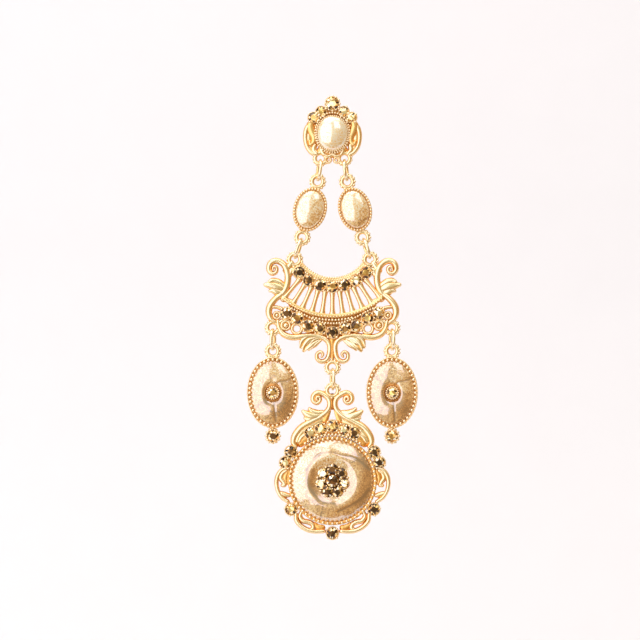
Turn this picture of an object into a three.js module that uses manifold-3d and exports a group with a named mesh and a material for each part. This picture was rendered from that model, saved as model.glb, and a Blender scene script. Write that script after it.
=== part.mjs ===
// A chandelier earring: a stud with a post, two oval links, a fan-shaped crescent, two oval drops
// and a round pendant, joined by jump rings. Millimetres, +Z up, the front faces -Y.
// Every casting is drawn flat, x to the right and y up, with z towards the viewer, and the whole
// drawing is then stood upright. The origin is on the post, at the pad that rests on the ear lobe.
import * as THREE from "three";
import { mergeVertices } from "three/addons/utils/BufferGeometryUtils.js";
import { ConvexGeometry } from "three/addons/geometries/ConvexGeometry.js";
import Module from "manifold-3d";

const wasm = await Module();
wasm.setup();

// ---- driving dimensions ----
const GAP = 0.08; // between pieces that touch on the real earring
const HANG_DEPTH = 1.3; // from the lobe to the middle plane of everything that hangs
const CAST = 1.3; // thickness of the cast scrolls

const LOOP = { middle: 1.3, bar: 0.45 }; // cast loops: radius of the bar's centreline, and of the bar
const RING = { inner: 1.85, wire: 0.375 }; // jump rings
const LINKED = 2 * (RING.inner + LOOP.middle - LOOP.bar - GAP); // between two loops on one ring

const STONE = { radius: 1.15, table: 0.66, crown: 0.42, pavilion: 0.85 };
const CROWN_STONE = { radius: 1.3, table: 0.75, crown: 0.48, pavilion: 0.95 };
const CUP = { wall: 0.36, front: CAST / 2, sides: 10 };

// The shallow cases that hold the resin: their back, and their floor under it.
const CASE = { back: -0.75, floor: 0.05 };
const STUD_CASE = { back: -0.8, floor: 0.1, front: 0.95, wall: 0.45 };

const EYELET = { x: 2.7, y: -5.9 }; // the stud's lower loops
const UPPER_RING_TILT = 7; // degrees off the vertical, spreading downwards
const LINK = { length: 13.02, tilt: 15.4, halfWidth: 3.65, halfHeight: 4.9, front: 0.75, wall: 0.55 };
const LOWER_RING_TILT = 18.8;
const FAN = {
  topLoop: { x: 8.49, y: -4.33 },
  sideLoop: { x: 13.4, y: -19.7 },
  bottomLoop: { x: 0, y: -28.6 },
};
const DROP = { loop: 9.35, halfWidth: 5.85, halfHeight: 8.05, front: 0.95, wall: 0.62, tip: -9.75 };
const DROP_CUP = { radius: 1.45, girdle: 1.8 }; // the cup at the middle of each drop
const PENDANT = { loop: 20.27, rim: 10.0, front: 1.1, wall: 0.75, tip: -11.8 };
const POST = { radius: 0.4, length: 11, pad: 2.2, padThickness: 0.4, groove: 9.3, neck: 0.28 };

const radians = THREE.MathUtils.degToRad;

// ---- solids ----

function solid(geometry) {
  const bare = geometry.clone();
  bare.deleteAttribute("normal");
  bare.deleteAttribute("uv");
  const merged = mergeVertices(bare, 1e-4);
  return new wasm.Manifold(
    new wasm.Mesh({
      numProp: 3,
      vertProperties: merged.getAttribute("position").array,
      triVerts: merged.index.array,
    }),
  );
}

function geometryOf(made) {
  const mesh = made.getMesh();
  const geometry = new THREE.BufferGeometry();
  geometry.setAttribute("position", new THREE.BufferAttribute(mesh.vertProperties, 3));
  geometry.setIndex(new THREE.BufferAttribute(mesh.triVerts, 1));
  geometry.computeVertexNormals();
  return geometry;
}

const join = (pieces) => pieces.reduce((whole, piece) => whole.add(piece));
const cut = (body, pieces) => pieces.reduce((rest, piece) => rest.subtract(piece), body);

// The right half's rows and their mirror images on the left.
const mirrored = (rows) => rows.map((row) => ({ ...row, x: -row.x }));
const bothSides = (make) => [make((rows) => rows), make(mirrored)].flat();

// A flat cast bar along a smooth curve through rows of x, y and width w.
function bar(rows, { depth = CAST, steps = 1 } = {}) {
  const route = rows.map(({ x, y }) => new THREE.Vector3(x, y, 0));
  const curve = new THREE.CatmullRomCurve3(route, false, "catmullrom", 0.5);
  const last = (rows.length - 1) * steps;
  const positions = [];
  for (let i = 0; i <= last; i++) {
    const at = curve.getPoint(i / last);
    const along = curve.getTangent(i / last);
    const row = Math.min(Math.floor(i / steps), rows.length - 2);
    const half = THREE.MathUtils.lerp(rows[row].w, rows[row + 1].w, i / steps - row) / 2;
    for (const [across, up] of [[1, -1], [1, 1], [-1, 1], [-1, -1]])
      positions.push(at.x - along.y * across * half, at.y + along.x * across * half, (up * depth) / 2);
  }
  const faces = [];
  for (let i = 0; i < last; i++)
    for (let j = 0; j < 4; j++) {
      const a = i * 4 + j;
      const b = i * 4 + ((j + 1) % 4);
      faces.push(a, b, b + 4, a, b + 4, a + 4);
    }
  const end = last * 4;
  faces.push(0, 2, 1, 0, 3, 2, end, end + 1, end + 2, end, end + 2, end + 3);
  const geometry = new THREE.BufferGeometry();
  geometry.setAttribute("position", new THREE.Float32BufferAttribute(positions, 3));
  geometry.setIndex(faces);
  return solid(geometry);
}

// A flat casting of a drawn outline.
function plate(shape, curveSegments) {
  const geometry = new THREE.ExtrudeGeometry(shape, { depth: CAST, bevelEnabled: false, curveSegments });
  return solid(geometry.translate(0, 0, -CAST / 2));
}

// A round or oval disc.
function disc({ x = 0, y = 0 }, halfWidth, halfHeight, back, front, segments = 24) {
  const geometry = new THREE.CylinderGeometry(1, 1, front - back, segments);
  geometry.rotateX(Math.PI / 2).scale(halfWidth, halfHeight, 1);
  return solid(geometry.translate(x, y, (front + back) / 2));
}

// The hollow of a case, open to the front.
const pocket = (at, halfWidth, halfHeight, floor, segments) =>
  disc(at, halfWidth + GAP, halfHeight + GAP, floor, 3, segments);

// An arc-shaped plate between two radii, up to an angle in degrees on each side of straight down.
function arcBand(inner, outer, halfAngle, curveSegments) {
  const from = radians(-90 - halfAngle);
  const to = radians(-90 + halfAngle);
  const shape = new THREE.Shape();
  shape.absarc(0, 0, outer, from, to, false);
  shape.absarc(0, 0, inner, to, from, true);
  return plate(shape, curveSegments);
}

function loop({ x, y }) {
  return solid(new THREE.TorusGeometry(LOOP.middle, LOOP.bar, 5, 11).translate(x, y, 0));
}

// The closed curl at the end of a scroll: a flat ring of a middle radius and a width.
function curl({ x, y }, radius, width) {
  const shape = new THREE.Shape().absarc(x, y, radius + width / 2, 0, 2 * Math.PI, false);
  shape.holes.push(new THREE.Path().absarc(x, y, radius - width / 2, 0, 2 * Math.PI, true));
  return plate(shape, 5);
}

// ---- stones and their seats ----

const cup = (at, stone = STONE) =>
  disc(at, stone.radius + CUP.wall, stone.radius + CUP.wall, -CUP.front, CUP.front, CUP.sides);

// The conical seat under a stone, which opens to the front and goes on widening past the girdle.
function seat({ x, y }, stone = STONE, girdle = CUP.front) {
  const mouth = (stone.radius + GAP) / Math.cos(Math.PI / CUP.sides);
  const depth = stone.pavilion + 2 * GAP;
  const height = depth + 1;
  const hollow = new THREE.ConeGeometry((mouth * height) / depth, height, CUP.sides).rotateX(-Math.PI / 2);
  return solid(hollow.translate(x, y, girdle - depth + height / 2));
}

// A chaton: a table of eight sides, a crown of stars and kites, and a pointed pavilion.
function chaton(stone = STONE) {
  const points = [new THREE.Vector3(0, 0, -stone.pavilion)];
  for (let i = 0; i < 8; i++) {
    const turn = radians(45 * i);
    points.push(new THREE.Vector3(Math.cos(turn) * stone.table, Math.sin(turn) * stone.table, stone.crown));
  }
  for (let i = 0; i < 16; i++) {
    const turn = radians(22.5 * i);
    points.push(new THREE.Vector3(Math.cos(turn) * stone.radius, Math.sin(turn) * stone.radius, 0));
  }
  return new ConvexGeometry(points);
}

// A domed piece of poured resin, turned from a profile of share of the radius and height, and made oval.
function dome(profile, halfWidth, halfHeight, segments) {
  const points = profile.map(({ r, h }) => new THREE.Vector2(r, h));
  const geometry = new THREE.LatheGeometry(points, segments);
  geometry.rotateX(Math.PI / 2).scale(halfWidth, halfHeight, 1);
  return solid(geometry);
}

// ---- materials ----

const metal = (color, roughness) => new THREE.MeshStandardMaterial({ color, roughness, metalness: 1 });
const gold = metal(0xe8b45c, 0.28);
const steel = metal(0xd9c07a, 0.3);
const resin = new THREE.MeshStandardMaterial({ color: 0xc9a468, roughness: 0.12, metalness: 0.2 });
const crystal = new THREE.MeshStandardMaterial({ color: 0x8a6a34, roughness: 0.05, metalness: 0.9 });

// ---- the drawing ----

const earring = new THREE.Group();
const drawing = new THREE.Group();
drawing.rotation.x = Math.PI / 2;
earring.add(drawing);

function section(x, y, tilt = 0) {
  const group = new THREE.Group();
  group.position.set(x, y, HANG_DEPTH);
  group.rotation.z = radians(tilt);
  drawing.add(group);
  return group;
}

function piece(group, name, made, material, at = {}) {
  const geometry = made.isBufferGeometry ? made : geometryOf(made);
  const mesh = new THREE.Mesh(geometry, material);
  mesh.name = name;
  mesh.position.set(at.x ?? 0, at.y ?? 0, at.z ?? 0);
  mesh.rotation.z = radians(at.turn ?? 0);
  group.add(mesh);
}

// A row of stones, numbered from 1, each turned a little further than the last.
function stones(group, name, places) {
  places.forEach(({ x, y }, i) =>
    piece(group, `${name}_${i + 1}`, chaton(), crystal, { x, y, z: CUP.front, turn: 17 * (i + 1) }),
  );
}

// ---- stud ----

const STUD_STONES = [
  { x: -4.3, y: 3.3 },
  { x: -2.55, y: 4.65 },
  { x: 2.55, y: 4.65 },
  { x: 4.3, y: 3.3 },
];
const STUD_CROWN = { x: 0, y: 6.45 };
const STUD_DOME = { y: -0.3, halfWidth: 3.35, halfHeight: 3.8, segments: 28 };

function studFrame() {
  const outerScroll = [
    { x: 4.5, y: 2.0, w: 1.3 },
    { x: 5.9, y: 0.9, w: 1.1 },
    { x: 6.25, y: -1.1, w: 0.8 },
    { x: 5.85, y: -3.2, w: 0.8 },
    { x: 4.7, y: -4.7, w: 0.9 },
    { x: 3.2, y: -5.2, w: 1.0 },
  ];
  const innerScroll = [
    { x: 4.3, y: 1.9, w: 1.1 },
    { x: 4.1, y: 0.2, w: 1.0 },
    { x: 4.0, y: -1.5, w: 0.8 },
    { x: 4.5, y: -2.7, w: 0.7 },
    { x: 5.3, y: -2.4, w: 0.8 },
  ];
  const { y, halfWidth, halfHeight, segments } = STUD_DOME;
  const { back, floor, front, wall } = STUD_CASE;
  const body = join([
    disc({ y }, halfWidth + wall, halfHeight + wall, back, front, segments),
    ...bothSides((side) => [
      bar(side(outerScroll), { steps: 2 }),
      bar(side(innerScroll), { steps: 2 }),
      loop(side([EYELET])[0]),
      bar(side([{ x: 2.5, y: -3.2, w: 1.8 }, { x: 1.6, y: -5.0, w: 1.2 }])),
      curl(side([{ x: 1.0, y: -6.1 }])[0], 0.95, 0.8),
    ]),
    bar([{ x: 0, y: 5.3, w: 1.7 }, { x: 0, y: 3.6, w: 1.7 }]),
    ...STUD_STONES.map((at) => cup(at)),
    cup(STUD_CROWN, CROWN_STONE),
  ]);
  return cut(body, [
    pocket({ y }, halfWidth, halfHeight, floor, segments),
    ...STUD_STONES.map((at) => seat(at)),
    seat(STUD_CROWN, CROWN_STONE),
  ]);
}

const PLAIN_DOME = [
  { r: 0, h: STUD_CASE.floor + GAP },
  { r: 1, h: STUD_CASE.floor + GAP },
  { r: 1, h: 0.8 },
  { r: 0.9, h: 1.35 },
  { r: 0.7, h: 1.9 },
  { r: 0.4, h: 2.3 },
  { r: 0, h: 2.45 },
];

function earPost() {
  const { radius, length, pad, padThickness, groove, neck } = POST;
  const profile = [
    [0, 0],
    [pad, 0],
    [pad, padThickness],
    [radius, padThickness],
    [radius, groove],
    [neck, groove + 0.2],
    [neck, groove + 0.5],
    [radius, groove + 0.7],
    [radius, length - 0.3],
    [radius / 2, length],
    [0, length],
  ];
  return solid(new THREE.LatheGeometry(profile.map(([r, h]) => new THREE.Vector2(r, h - padThickness)), 12));
}

const stud = section(0, 0);
piece(stud, "stud_frame", studFrame(), gold);
piece(
  stud,
  "stud_dome",
  dome(PLAIN_DOME, STUD_DOME.halfWidth, STUD_DOME.halfHeight, STUD_DOME.segments),
  resin,
  { y: STUD_DOME.y },
);
stones(stud, "stud_stone", STUD_STONES);
piece(stud, "stud_crown_stone", chaton(CROWN_STONE), crystal, { ...STUD_CROWN, z: CUP.front, turn: 17 });
const post = new THREE.Mesh(geometryOf(earPost()), steel);
post.name = "ear_post";
earring.add(post);

// ---- chain of places, from the stud down, on the right-hand side ----

const step = (from, length, tilt) => ({
  x: from.x + length * Math.sin(radians(tilt)),
  y: from.y - length * Math.cos(radians(tilt)),
});
const midway = (a, b) => ({ x: (a.x + b.x) / 2, y: (a.y + b.y) / 2 });
const linkTop = step(EYELET, LINKED, UPPER_RING_TILT);
const linkFoot = step(linkTop, LINK.length, LINK.tilt);
const fanLoop = step(linkFoot, LINKED, LOWER_RING_TILT);
const fanCentre = { x: 0, y: fanLoop.y - FAN.topLoop.y };
const below = (at) => step({ x: at.x, y: fanCentre.y + at.y }, LINKED, 0);
const dropLoop = below(FAN.sideLoop);
const pendantLoop = below(FAN.bottomLoop);

const jumpRing = solid(new THREE.TorusGeometry(RING.inner + RING.wire, RING.wire, 5, 16).rotateY(Math.PI / 2));

// A jump ring through two loops, its plane at right angles to the castings.
function ring(name, at, tilt) {
  piece(section(at.x, at.y, tilt), name, jumpRing, gold);
}

const SIDES = [
  { side: "left", sign: -1 },
  { side: "right", sign: 1 },
];

// ---- links ----

function linkFrame() {
  const { halfWidth, halfHeight, front, wall, length } = LINK;
  const loops = [length / 2, -length / 2].map((y) => loop({ x: 0, y }));
  const body = join([disc({}, halfWidth, halfHeight, CASE.back, front), ...loops]);
  return body.subtract(pocket({}, halfWidth - wall, halfHeight - wall, CASE.floor));
}

const LINK_DOME = [
  { r: 0, h: CASE.floor + GAP },
  { r: 1, h: CASE.floor + GAP },
  { r: 1, h: 0.6 },
  { r: 0.85, h: 1.15 },
  { r: 0.5, h: 1.65 },
  { r: 0, h: 1.85 },
];

SIDES.forEach(({ side, sign }) => {
  const at = midway(linkTop, linkFoot);
  const link = section(sign * at.x, at.y, sign * LINK.tilt);
  piece(link, `link_frame_${side}`, linkFrame(), gold);
  const resinDome = dome(LINK_DOME, LINK.halfWidth - LINK.wall, LINK.halfHeight - LINK.wall, 24);
  piece(link, `link_dome_${side}`, resinDome, resin);
  const upper = midway(EYELET, linkTop);
  ring(`ring_stud_${side}`, { x: sign * upper.x, y: upper.y }, sign * UPPER_RING_TILT);
  const lower = midway(linkFoot, fanLoop);
  ring(`ring_link_${side}`, { x: sign * lower.x, y: lower.y }, sign * LOWER_RING_TILT);
});

// ---- crescent: its own origin is the centre of the fan's arcs ----

const UPPER_ROW = [-3, -2, -1, 0, 1, 2, 3].map((i) => step({ x: 0, y: 0 }, 10.4, 15.2 * i));
const LOWER_HALF = [
  { x: 2.81, y: -19.92 },
  { x: 5.46, y: -19.3 },
  { x: 7.9, y: -17.5 },
  { x: 10.4, y: -16.47 },
];
const LOWER_ROW = [...mirrored(LOWER_HALF).reverse(), { x: 0, y: -20.77 }, ...LOWER_HALF];

const FAN_SCROLL = [
  { x: 12.75, y: -6.4, w: 0.7 },
  { x: 12.9, y: -7.15, w: 0.85 },
  { x: 13.75, y: -7.3, w: 0.9 },
  { x: 14.35, y: -6.4, w: 1.0 },
  { x: 14.05, y: -5.25, w: 1.1 },
  { x: 13.0, y: -4.6, w: 1.2 },
  { x: 11.7, y: -4.8, w: 1.25 },
  { x: 10.7, y: -5.8, w: 1.3 },
  { x: 10.1, y: -7.8, w: 1.35 },
  { x: 10.25, y: -9.9, w: 1.35 },
  { x: 11.1, y: -11.7, w: 1.4 },
  { x: 12.9, y: -13.2, w: 1.4 },
  { x: 14.15, y: -14.8, w: 1.45 },
  { x: 14.4, y: -16.4, w: 1.45 },
  { x: 13.7, y: -18.0, w: 1.3 },
];
const FAN_SWOOP = [
  { x: 12.5, y: -18.6, w: 1.1 },
  { x: 11.95, y: -20.3, w: 1.3 },
  { x: 10.75, y: -21.5, w: 1.4 },
  { x: 8.85, y: -21.95, w: 1.4 },
  { x: 6.5, y: -21.6, w: 1.35 },
  { x: 4.3, y: -21.5, w: 1.3 },
  { x: 2.4, y: -22.1, w: 1.2 },
  { x: 1.1, y: -23.5, w: 1.15 },
  { x: 0.95, y: -25.2, w: 1.1 },
  { x: 1.7, y: -26.7, w: 1.0 },
  { x: 2.9, y: -27.0, w: 0.95 },
  { x: 3.55, y: -26.1, w: 0.85 },
  { x: 3.0, y: -25.2, w: 0.8 },
];
const FAN_SIDE_LEAF = [
  [{ x: 10.9, y: -10.2, w: 0.9 }, { x: 12.5, y: -9.2, w: 0.9 }, { x: 14.1, y: -9.5, w: 0.4 }],
  [{ x: 11.2, y: -11.6, w: 1.4 }, { x: 13.2, y: -10.6, w: 1.5 }, { x: 15.5, y: -10.1, w: 0.5 }],
  [{ x: 11.9, y: -12.4, w: 1.1 }, { x: 13.2, y: -11.7, w: 0.9 }, { x: 14.2, y: -11.8, w: 0.4 }],
];
const FAN_LOWER_LEAF = [
  [{ x: 4.4, y: -22.1, w: 1.2 }, { x: 6.1, y: -22.8, w: 1.4 }, { x: 7.3, y: -23.9, w: 0.6 }],
  [{ x: 3.9, y: -22.2, w: 1.2 }, { x: 5.9, y: -23.6, w: 1.5 }, { x: 7.0, y: -25.3, w: 0.6 }],
  [{ x: 3.4, y: -22.4, w: 1.0 }, { x: 4.9, y: -23.6, w: 1.2 }, { x: 5.5, y: -25.2, w: 0.6 }],
];
const RAY = { count: 11, pitch: 8, from: 11.3, to: 17.2, width: 0.72, depth: 0.9 };

function fanRays() {
  return Array.from({ length: RAY.count }, (_, i) => {
    const tilt = RAY.pitch * (i - (RAY.count - 1) / 2);
    const from = step({ x: 0, y: 0 }, RAY.from, tilt);
    const to = step({ x: 0, y: 0 }, RAY.to, tilt);
    return bar([{ ...from, w: RAY.width }, { ...to, w: RAY.width }], { depth: RAY.depth });
  });
}

function crescentFrame() {
  const rowBar = (rows, w) => bar(rows.map((row) => ({ ...row, w })));
  const body = join([
    arcBand(8.25, 11.3, 55, 20),
    arcBand(16.3, 17.6, 41, 14),
    arcBand(17.5, 19.6, 17, 6),
    ...fanRays(),
    rowBar(LOWER_ROW, 2.5),
    ...UPPER_ROW.map((at) => cup(at)),
    ...LOWER_ROW.map((at) => cup(at)),
    loop(FAN.bottomLoop),
    bar([{ x: 0, y: -22, w: 2.2 }, { x: 0, y: -26.9, w: 1.5 }]),
    ...bothSides((side) => [
      bar(side(FAN_SCROLL)),
      bar(side(FAN_SWOOP)),
      ...FAN_SIDE_LEAF.map((lobe) => bar(side(lobe))),
      ...FAN_LOWER_LEAF.map((lobe) => bar(side(lobe))),
      loop(side([FAN.topLoop])[0]),
      loop(side([FAN.sideLoop])[0]),
      bar(side([{ x: 9.6, y: -5.6, w: 1.3 }, { x: 10.5, y: -6.7, w: 1.3 }])),
      bar(side([{ x: 13.0, y: -15.1, w: 0.7 }, { x: 11.4, y: -15.4, w: 0.9 }])),
      curl(side([{ x: 12.75, y: -17.0 }])[0], 0.8, 0.7),
      curl(side([{ x: 10.6, y: -19.5 }])[0], 1.0, 0.9),
      curl(side([{ x: 8.15, y: -19.9 }])[0], 1.15, 0.7),
    ]),
  ]);
  return cut(body, [...UPPER_ROW, ...LOWER_ROW].map((at) => seat(at)));
}

const crescent = section(0, fanCentre.y);
piece(crescent, "crescent_frame", crescentFrame(), gold);
stones(crescent, "crescent_upper_stone", UPPER_ROW);
stones(crescent, "crescent_lower_stone", LOWER_ROW);

// ---- oval drops ----

// The resin dips around the cup at its middle, which it is poured round.
const DROP_DOME = [
  { r: 0.31, h: CASE.floor + GAP },
  { r: 1, h: CASE.floor + GAP },
  { r: 1, h: 0.75 },
  { r: 0.88, h: 1.3 },
  { r: 0.7, h: 1.7 },
  { r: 0.5, h: 1.75 },
  { r: 0.31, h: 1.3 },
  { r: 0.31, h: CASE.floor + GAP },
];

function dropFrame() {
  const { halfWidth, halfHeight, front, wall } = DROP;
  const tip = { x: 0, y: DROP.tip };
  const hollow = pocket({}, halfWidth - wall, halfHeight - wall, CASE.floor, 32);
  const body = join([
    disc({}, halfWidth, halfHeight, CASE.back, front, 32).subtract(hollow),
    disc({}, DROP_CUP.radius, DROP_CUP.radius, 0, DROP_CUP.girdle, CUP.sides),
    loop({ x: 0, y: DROP.loop }),
    bar([{ x: 0, y: -halfHeight + 0.3, w: 1.6 }, { x: 0, y: DROP.tip + 1, w: 1.6 }]),
    cup(tip),
  ]);
  return cut(body, [seat(tip), seat({ x: 0, y: 0 }, STONE, DROP_CUP.girdle)]);
}

SIDES.forEach(({ side, sign }) => {
  const x = sign * dropLoop.x;
  const drop = section(x, dropLoop.y - DROP.loop);
  piece(drop, `drop_frame_${side}`, dropFrame(), gold);
  const resinDome = dome(DROP_DOME, DROP.halfWidth - DROP.wall, DROP.halfHeight - DROP.wall, 28);
  piece(drop, `drop_dome_${side}`, resinDome, resin);
  piece(drop, `drop_centre_stone_${side}`, chaton(), crystal, { z: DROP_CUP.girdle, turn: 9 });
  piece(drop, `drop_tip_stone_${side}`, chaton(), crystal, { y: DROP.tip, z: CUP.front, turn: 14 });
  const middle = midway({ x, y: fanCentre.y + FAN.sideLoop.y }, { x, y: dropLoop.y });
  ring(`ring_drop_${side}`, middle, 0);
});

// ---- pendant: its own origin is the centre of its round rim ----

const PENDANT_SCROLL = [
  { x: 3.0, y: 18.5, w: 0.7 },
  { x: 3.05, y: 17.75, w: 0.8 },
  { x: 3.85, y: 17.5, w: 0.9 },
  { x: 4.45, y: 18.3, w: 1.0 },
  { x: 4.2, y: 19.3, w: 1.1 },
  { x: 3.15, y: 19.85, w: 1.15 },
  { x: 1.95, y: 19.4, w: 1.15 },
  { x: 1.05, y: 18.4, w: 1.15 },
  { x: 0.8, y: 17.1, w: 1.1 },
  { x: 1.35, y: 15.8, w: 1.15 },
  { x: 2.8, y: 14.5, w: 1.2 },
  { x: 5.0, y: 13.1, w: 1.2 },
  { x: 7.2, y: 11.8, w: 1.2 },
  { x: 8.6, y: 9.9, w: 1.15 },
  { x: 8.8, y: 8.2, w: 1.0 },
];
const PENDANT_LEAF = [
  [{ x: 2.6, y: 14.9, w: 0.9 }, { x: 4.0, y: 14.9, w: 1.0 }, { x: 5.3, y: 16.0, w: 0.5 }],
  [{ x: 3.0, y: 14.6, w: 1.2 }, { x: 5.0, y: 14.3, w: 1.3 }, { x: 6.8, y: 15.5, w: 0.5 }],
  [{ x: 3.6, y: 14.1, w: 1.0 }, { x: 5.0, y: 13.6, w: 0.9 }, { x: 6.2, y: 13.7, w: 0.5 }],
];
const PENDANT_SIDE = [
  { x: 10.3, y: 2.5, w: 1.0 },
  { x: 12.1, y: 1.9, w: 0.9 },
  { x: 12.7, y: -0.3, w: 0.8 },
  { x: 12.1, y: -2.9, w: 0.9 },
  { x: 10.0, y: -4.4, w: 1.0 },
];
const PENDANT_FOOT = [
  { x: 8.0, y: -6.6, w: 1.0 },
  { x: 8.2, y: -8.6, w: 0.9 },
  { x: 7.2, y: -10.5, w: 0.8 },
  { x: 5.2, y: -11.6, w: 0.8 },
  { x: 3.2, y: -11.9, w: 0.9 },
  { x: 1.2, y: -11.8, w: 0.9 },
];
const ARCH_STONES = [
  { x: -4.97, y: 10.75 },
  { x: -2.6, y: 11.6 },
  { x: 0, y: 12.3 },
  { x: 2.6, y: 11.6 },
  { x: 4.97, y: 10.75 },
];
const RIM_HALF = [
  { x: 9.35, y: 6.5 },
  { x: 10.55, y: 4.1 },
  { x: 9.3, y: -6.4 },
];
const RIM_STONES = [...mirrored(RIM_HALF), ...RIM_HALF, { x: 0, y: PENDANT.tip }];
const CLUSTER = { petals: 7, ring: 2.7, base: 3.0, back: 0.35, top: 2.2 };
const BUMP = { table: 0.7, girdle: 1.22, height: 0.6, overlap: 0.25 }; // one stone of the cluster

// The resin rises to a crest and dips to the cluster at its middle.
const PENDANT_DOME = [
  { r: 0, h: CASE.floor + GAP },
  { r: 1, h: CASE.floor + GAP },
  { r: 1, h: 0.9 },
  { r: 0.92, h: 1.4 },
  { r: 0.78, h: 1.85 },
  { r: 0.62, h: 2.05 },
  { r: 0.48, h: 1.75 },
  { r: 0.36, h: 1.2 },
  { r: 0.36, h: CLUSTER.back },
  { r: 0, h: CLUSTER.back },
];

function pendantFrame() {
  const { rim, front, wall } = PENDANT;
  const settings = [...ARCH_STONES, ...RIM_STONES];
  const body = join([
    disc({}, rim, rim, CASE.back, front, 40),
    bar(ARCH_STONES.map((row) => ({ ...row, w: 2.6 }))),
    bar([{ x: -6.5, y: 8.6, w: 2.4 }, { x: 0, y: 10.4, w: 2.6 }, { x: 6.5, y: 8.6, w: 2.4 }]),
    loop({ x: 0, y: PENDANT.loop }),
    bar([{ x: 0, y: 19.2, w: 1.1 }, { x: 0, y: 15.9, w: 1.5 }]),
    ...settings.map((at) => cup(at)),
    ...bothSides((side) => [
      bar(side(PENDANT_SCROLL)),
      bar(side(PENDANT_SIDE), { steps: 2 }),
      bar(side(PENDANT_FOOT), { steps: 2 }),
      ...PENDANT_LEAF.map((lobe) => bar(side(lobe))),
      curl(side([{ x: 10.8, y: -0.6 }])[0], 0.8, 0.7),
      curl(side([{ x: 5.7, y: -9.2 }])[0], 0.8, 0.7),
      curl(side([{ x: 7.3, y: 8.7 }])[0], 0.8, 0.7),
    ]),
  ]);
  return cut(body, [pocket({}, rim - wall, rim - wall, CASE.floor, 40), ...settings.map((at) => seat(at))]);
}

// The flower of stones at the middle, as one solid: a stepped base with a bump for each stone.
function cluster() {
  const { petals, ring, base, back, top } = CLUSTER;
  const bump = ({ x, y }, front) => {
    const stone = new THREE.CylinderGeometry(BUMP.table, BUMP.girdle, BUMP.height, 6).rotateX(Math.PI / 2);
    return solid(stone.translate(x, y, front - BUMP.height / 2));
  };
  const around = Array.from({ length: petals }, (_, i) => step({ x: 0, y: 0 }, ring, (360 / petals) * i));
  return join([
    disc({}, base, base, back + GAP, top - BUMP.height + BUMP.overlap, 14),
    ...around.map((at) => bump(at, top)),
    bump({ x: 0, y: 0 }, top + 0.2),
  ]);
}

const pendant = section(0, pendantLoop.y - PENDANT.loop);
piece(pendant, "pendant_frame", pendantFrame(), gold);
piece(
  pendant,
  "pendant_dome",
  dome(PENDANT_DOME, PENDANT.rim - PENDANT.wall, PENDANT.rim - PENDANT.wall, 36),
  resin,
);
piece(pendant, "pendant_cluster", cluster(), crystal);
stones(pendant, "pendant_stone", [...ARCH_STONES, ...RIM_STONES]);
ring("ring_pendant", midway({ x: 0, y: fanCentre.y + FAN.bottomLoop.y }, pendantLoop), 0);

export default earring;
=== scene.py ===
"""A chandelier earring: a stud on a post, two oval links, a crescent, two oval drops and a round pendant.

Every casting is drawn flat in millimetres, x to the right, y up and z towards the viewer, and is then
stood upright where its CAD nodes hang: x stays, y becomes height, and z comes out of the front, along -Y.
"""

import bpy
import numpy as np
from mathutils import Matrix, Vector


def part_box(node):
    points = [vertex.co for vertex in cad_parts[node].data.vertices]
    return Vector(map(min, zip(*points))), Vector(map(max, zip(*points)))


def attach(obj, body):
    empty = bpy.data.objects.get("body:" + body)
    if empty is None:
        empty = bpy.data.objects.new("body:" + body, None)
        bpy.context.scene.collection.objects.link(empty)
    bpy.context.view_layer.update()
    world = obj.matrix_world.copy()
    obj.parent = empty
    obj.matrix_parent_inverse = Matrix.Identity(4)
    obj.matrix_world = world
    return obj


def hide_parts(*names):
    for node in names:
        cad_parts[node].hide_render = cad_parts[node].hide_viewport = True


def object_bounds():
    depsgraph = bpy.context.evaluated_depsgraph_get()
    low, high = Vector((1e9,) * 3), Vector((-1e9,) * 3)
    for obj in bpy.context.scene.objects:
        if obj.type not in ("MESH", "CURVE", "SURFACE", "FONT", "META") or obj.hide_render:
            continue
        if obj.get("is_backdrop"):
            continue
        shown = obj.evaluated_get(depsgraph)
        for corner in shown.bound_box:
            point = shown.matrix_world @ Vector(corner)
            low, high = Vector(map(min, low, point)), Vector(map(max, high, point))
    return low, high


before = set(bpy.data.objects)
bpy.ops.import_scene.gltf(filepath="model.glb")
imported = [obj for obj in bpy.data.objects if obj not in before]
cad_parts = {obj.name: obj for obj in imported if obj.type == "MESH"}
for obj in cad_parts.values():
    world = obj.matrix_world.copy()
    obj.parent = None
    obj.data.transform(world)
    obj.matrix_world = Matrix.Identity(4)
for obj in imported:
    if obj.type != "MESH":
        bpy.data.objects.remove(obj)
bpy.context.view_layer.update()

MM = 0.001
HANG_DEPTH = 1.3  # from the ear lobe to the middle plane of what hangs
BACK = -0.65  # the flat back of the castings
CAST_HEIGHT = 1.3  # from there to the crest of a plain cast wire
LAYER = 0.003  # how far apart the backs of the shapes in one casting lie
HAIR = 0.001  # closer than this to the back counts as on it

# Tilts in degrees; the lower ends of the upper rings, the links and the lower rings swing outwards.
UPPER_RING_TILT = 7.0
LINK_TILT = 15.4
LOWER_RING_TILT = 18.8

# The radius of stone that each kind of setting is cast for.
STONE_RADIUS = 1.25
STUD_STONE_RADIUS = 1.1
CROWN_RADIUS = 1.42
TIP_RADIUS = 1.3

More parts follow.
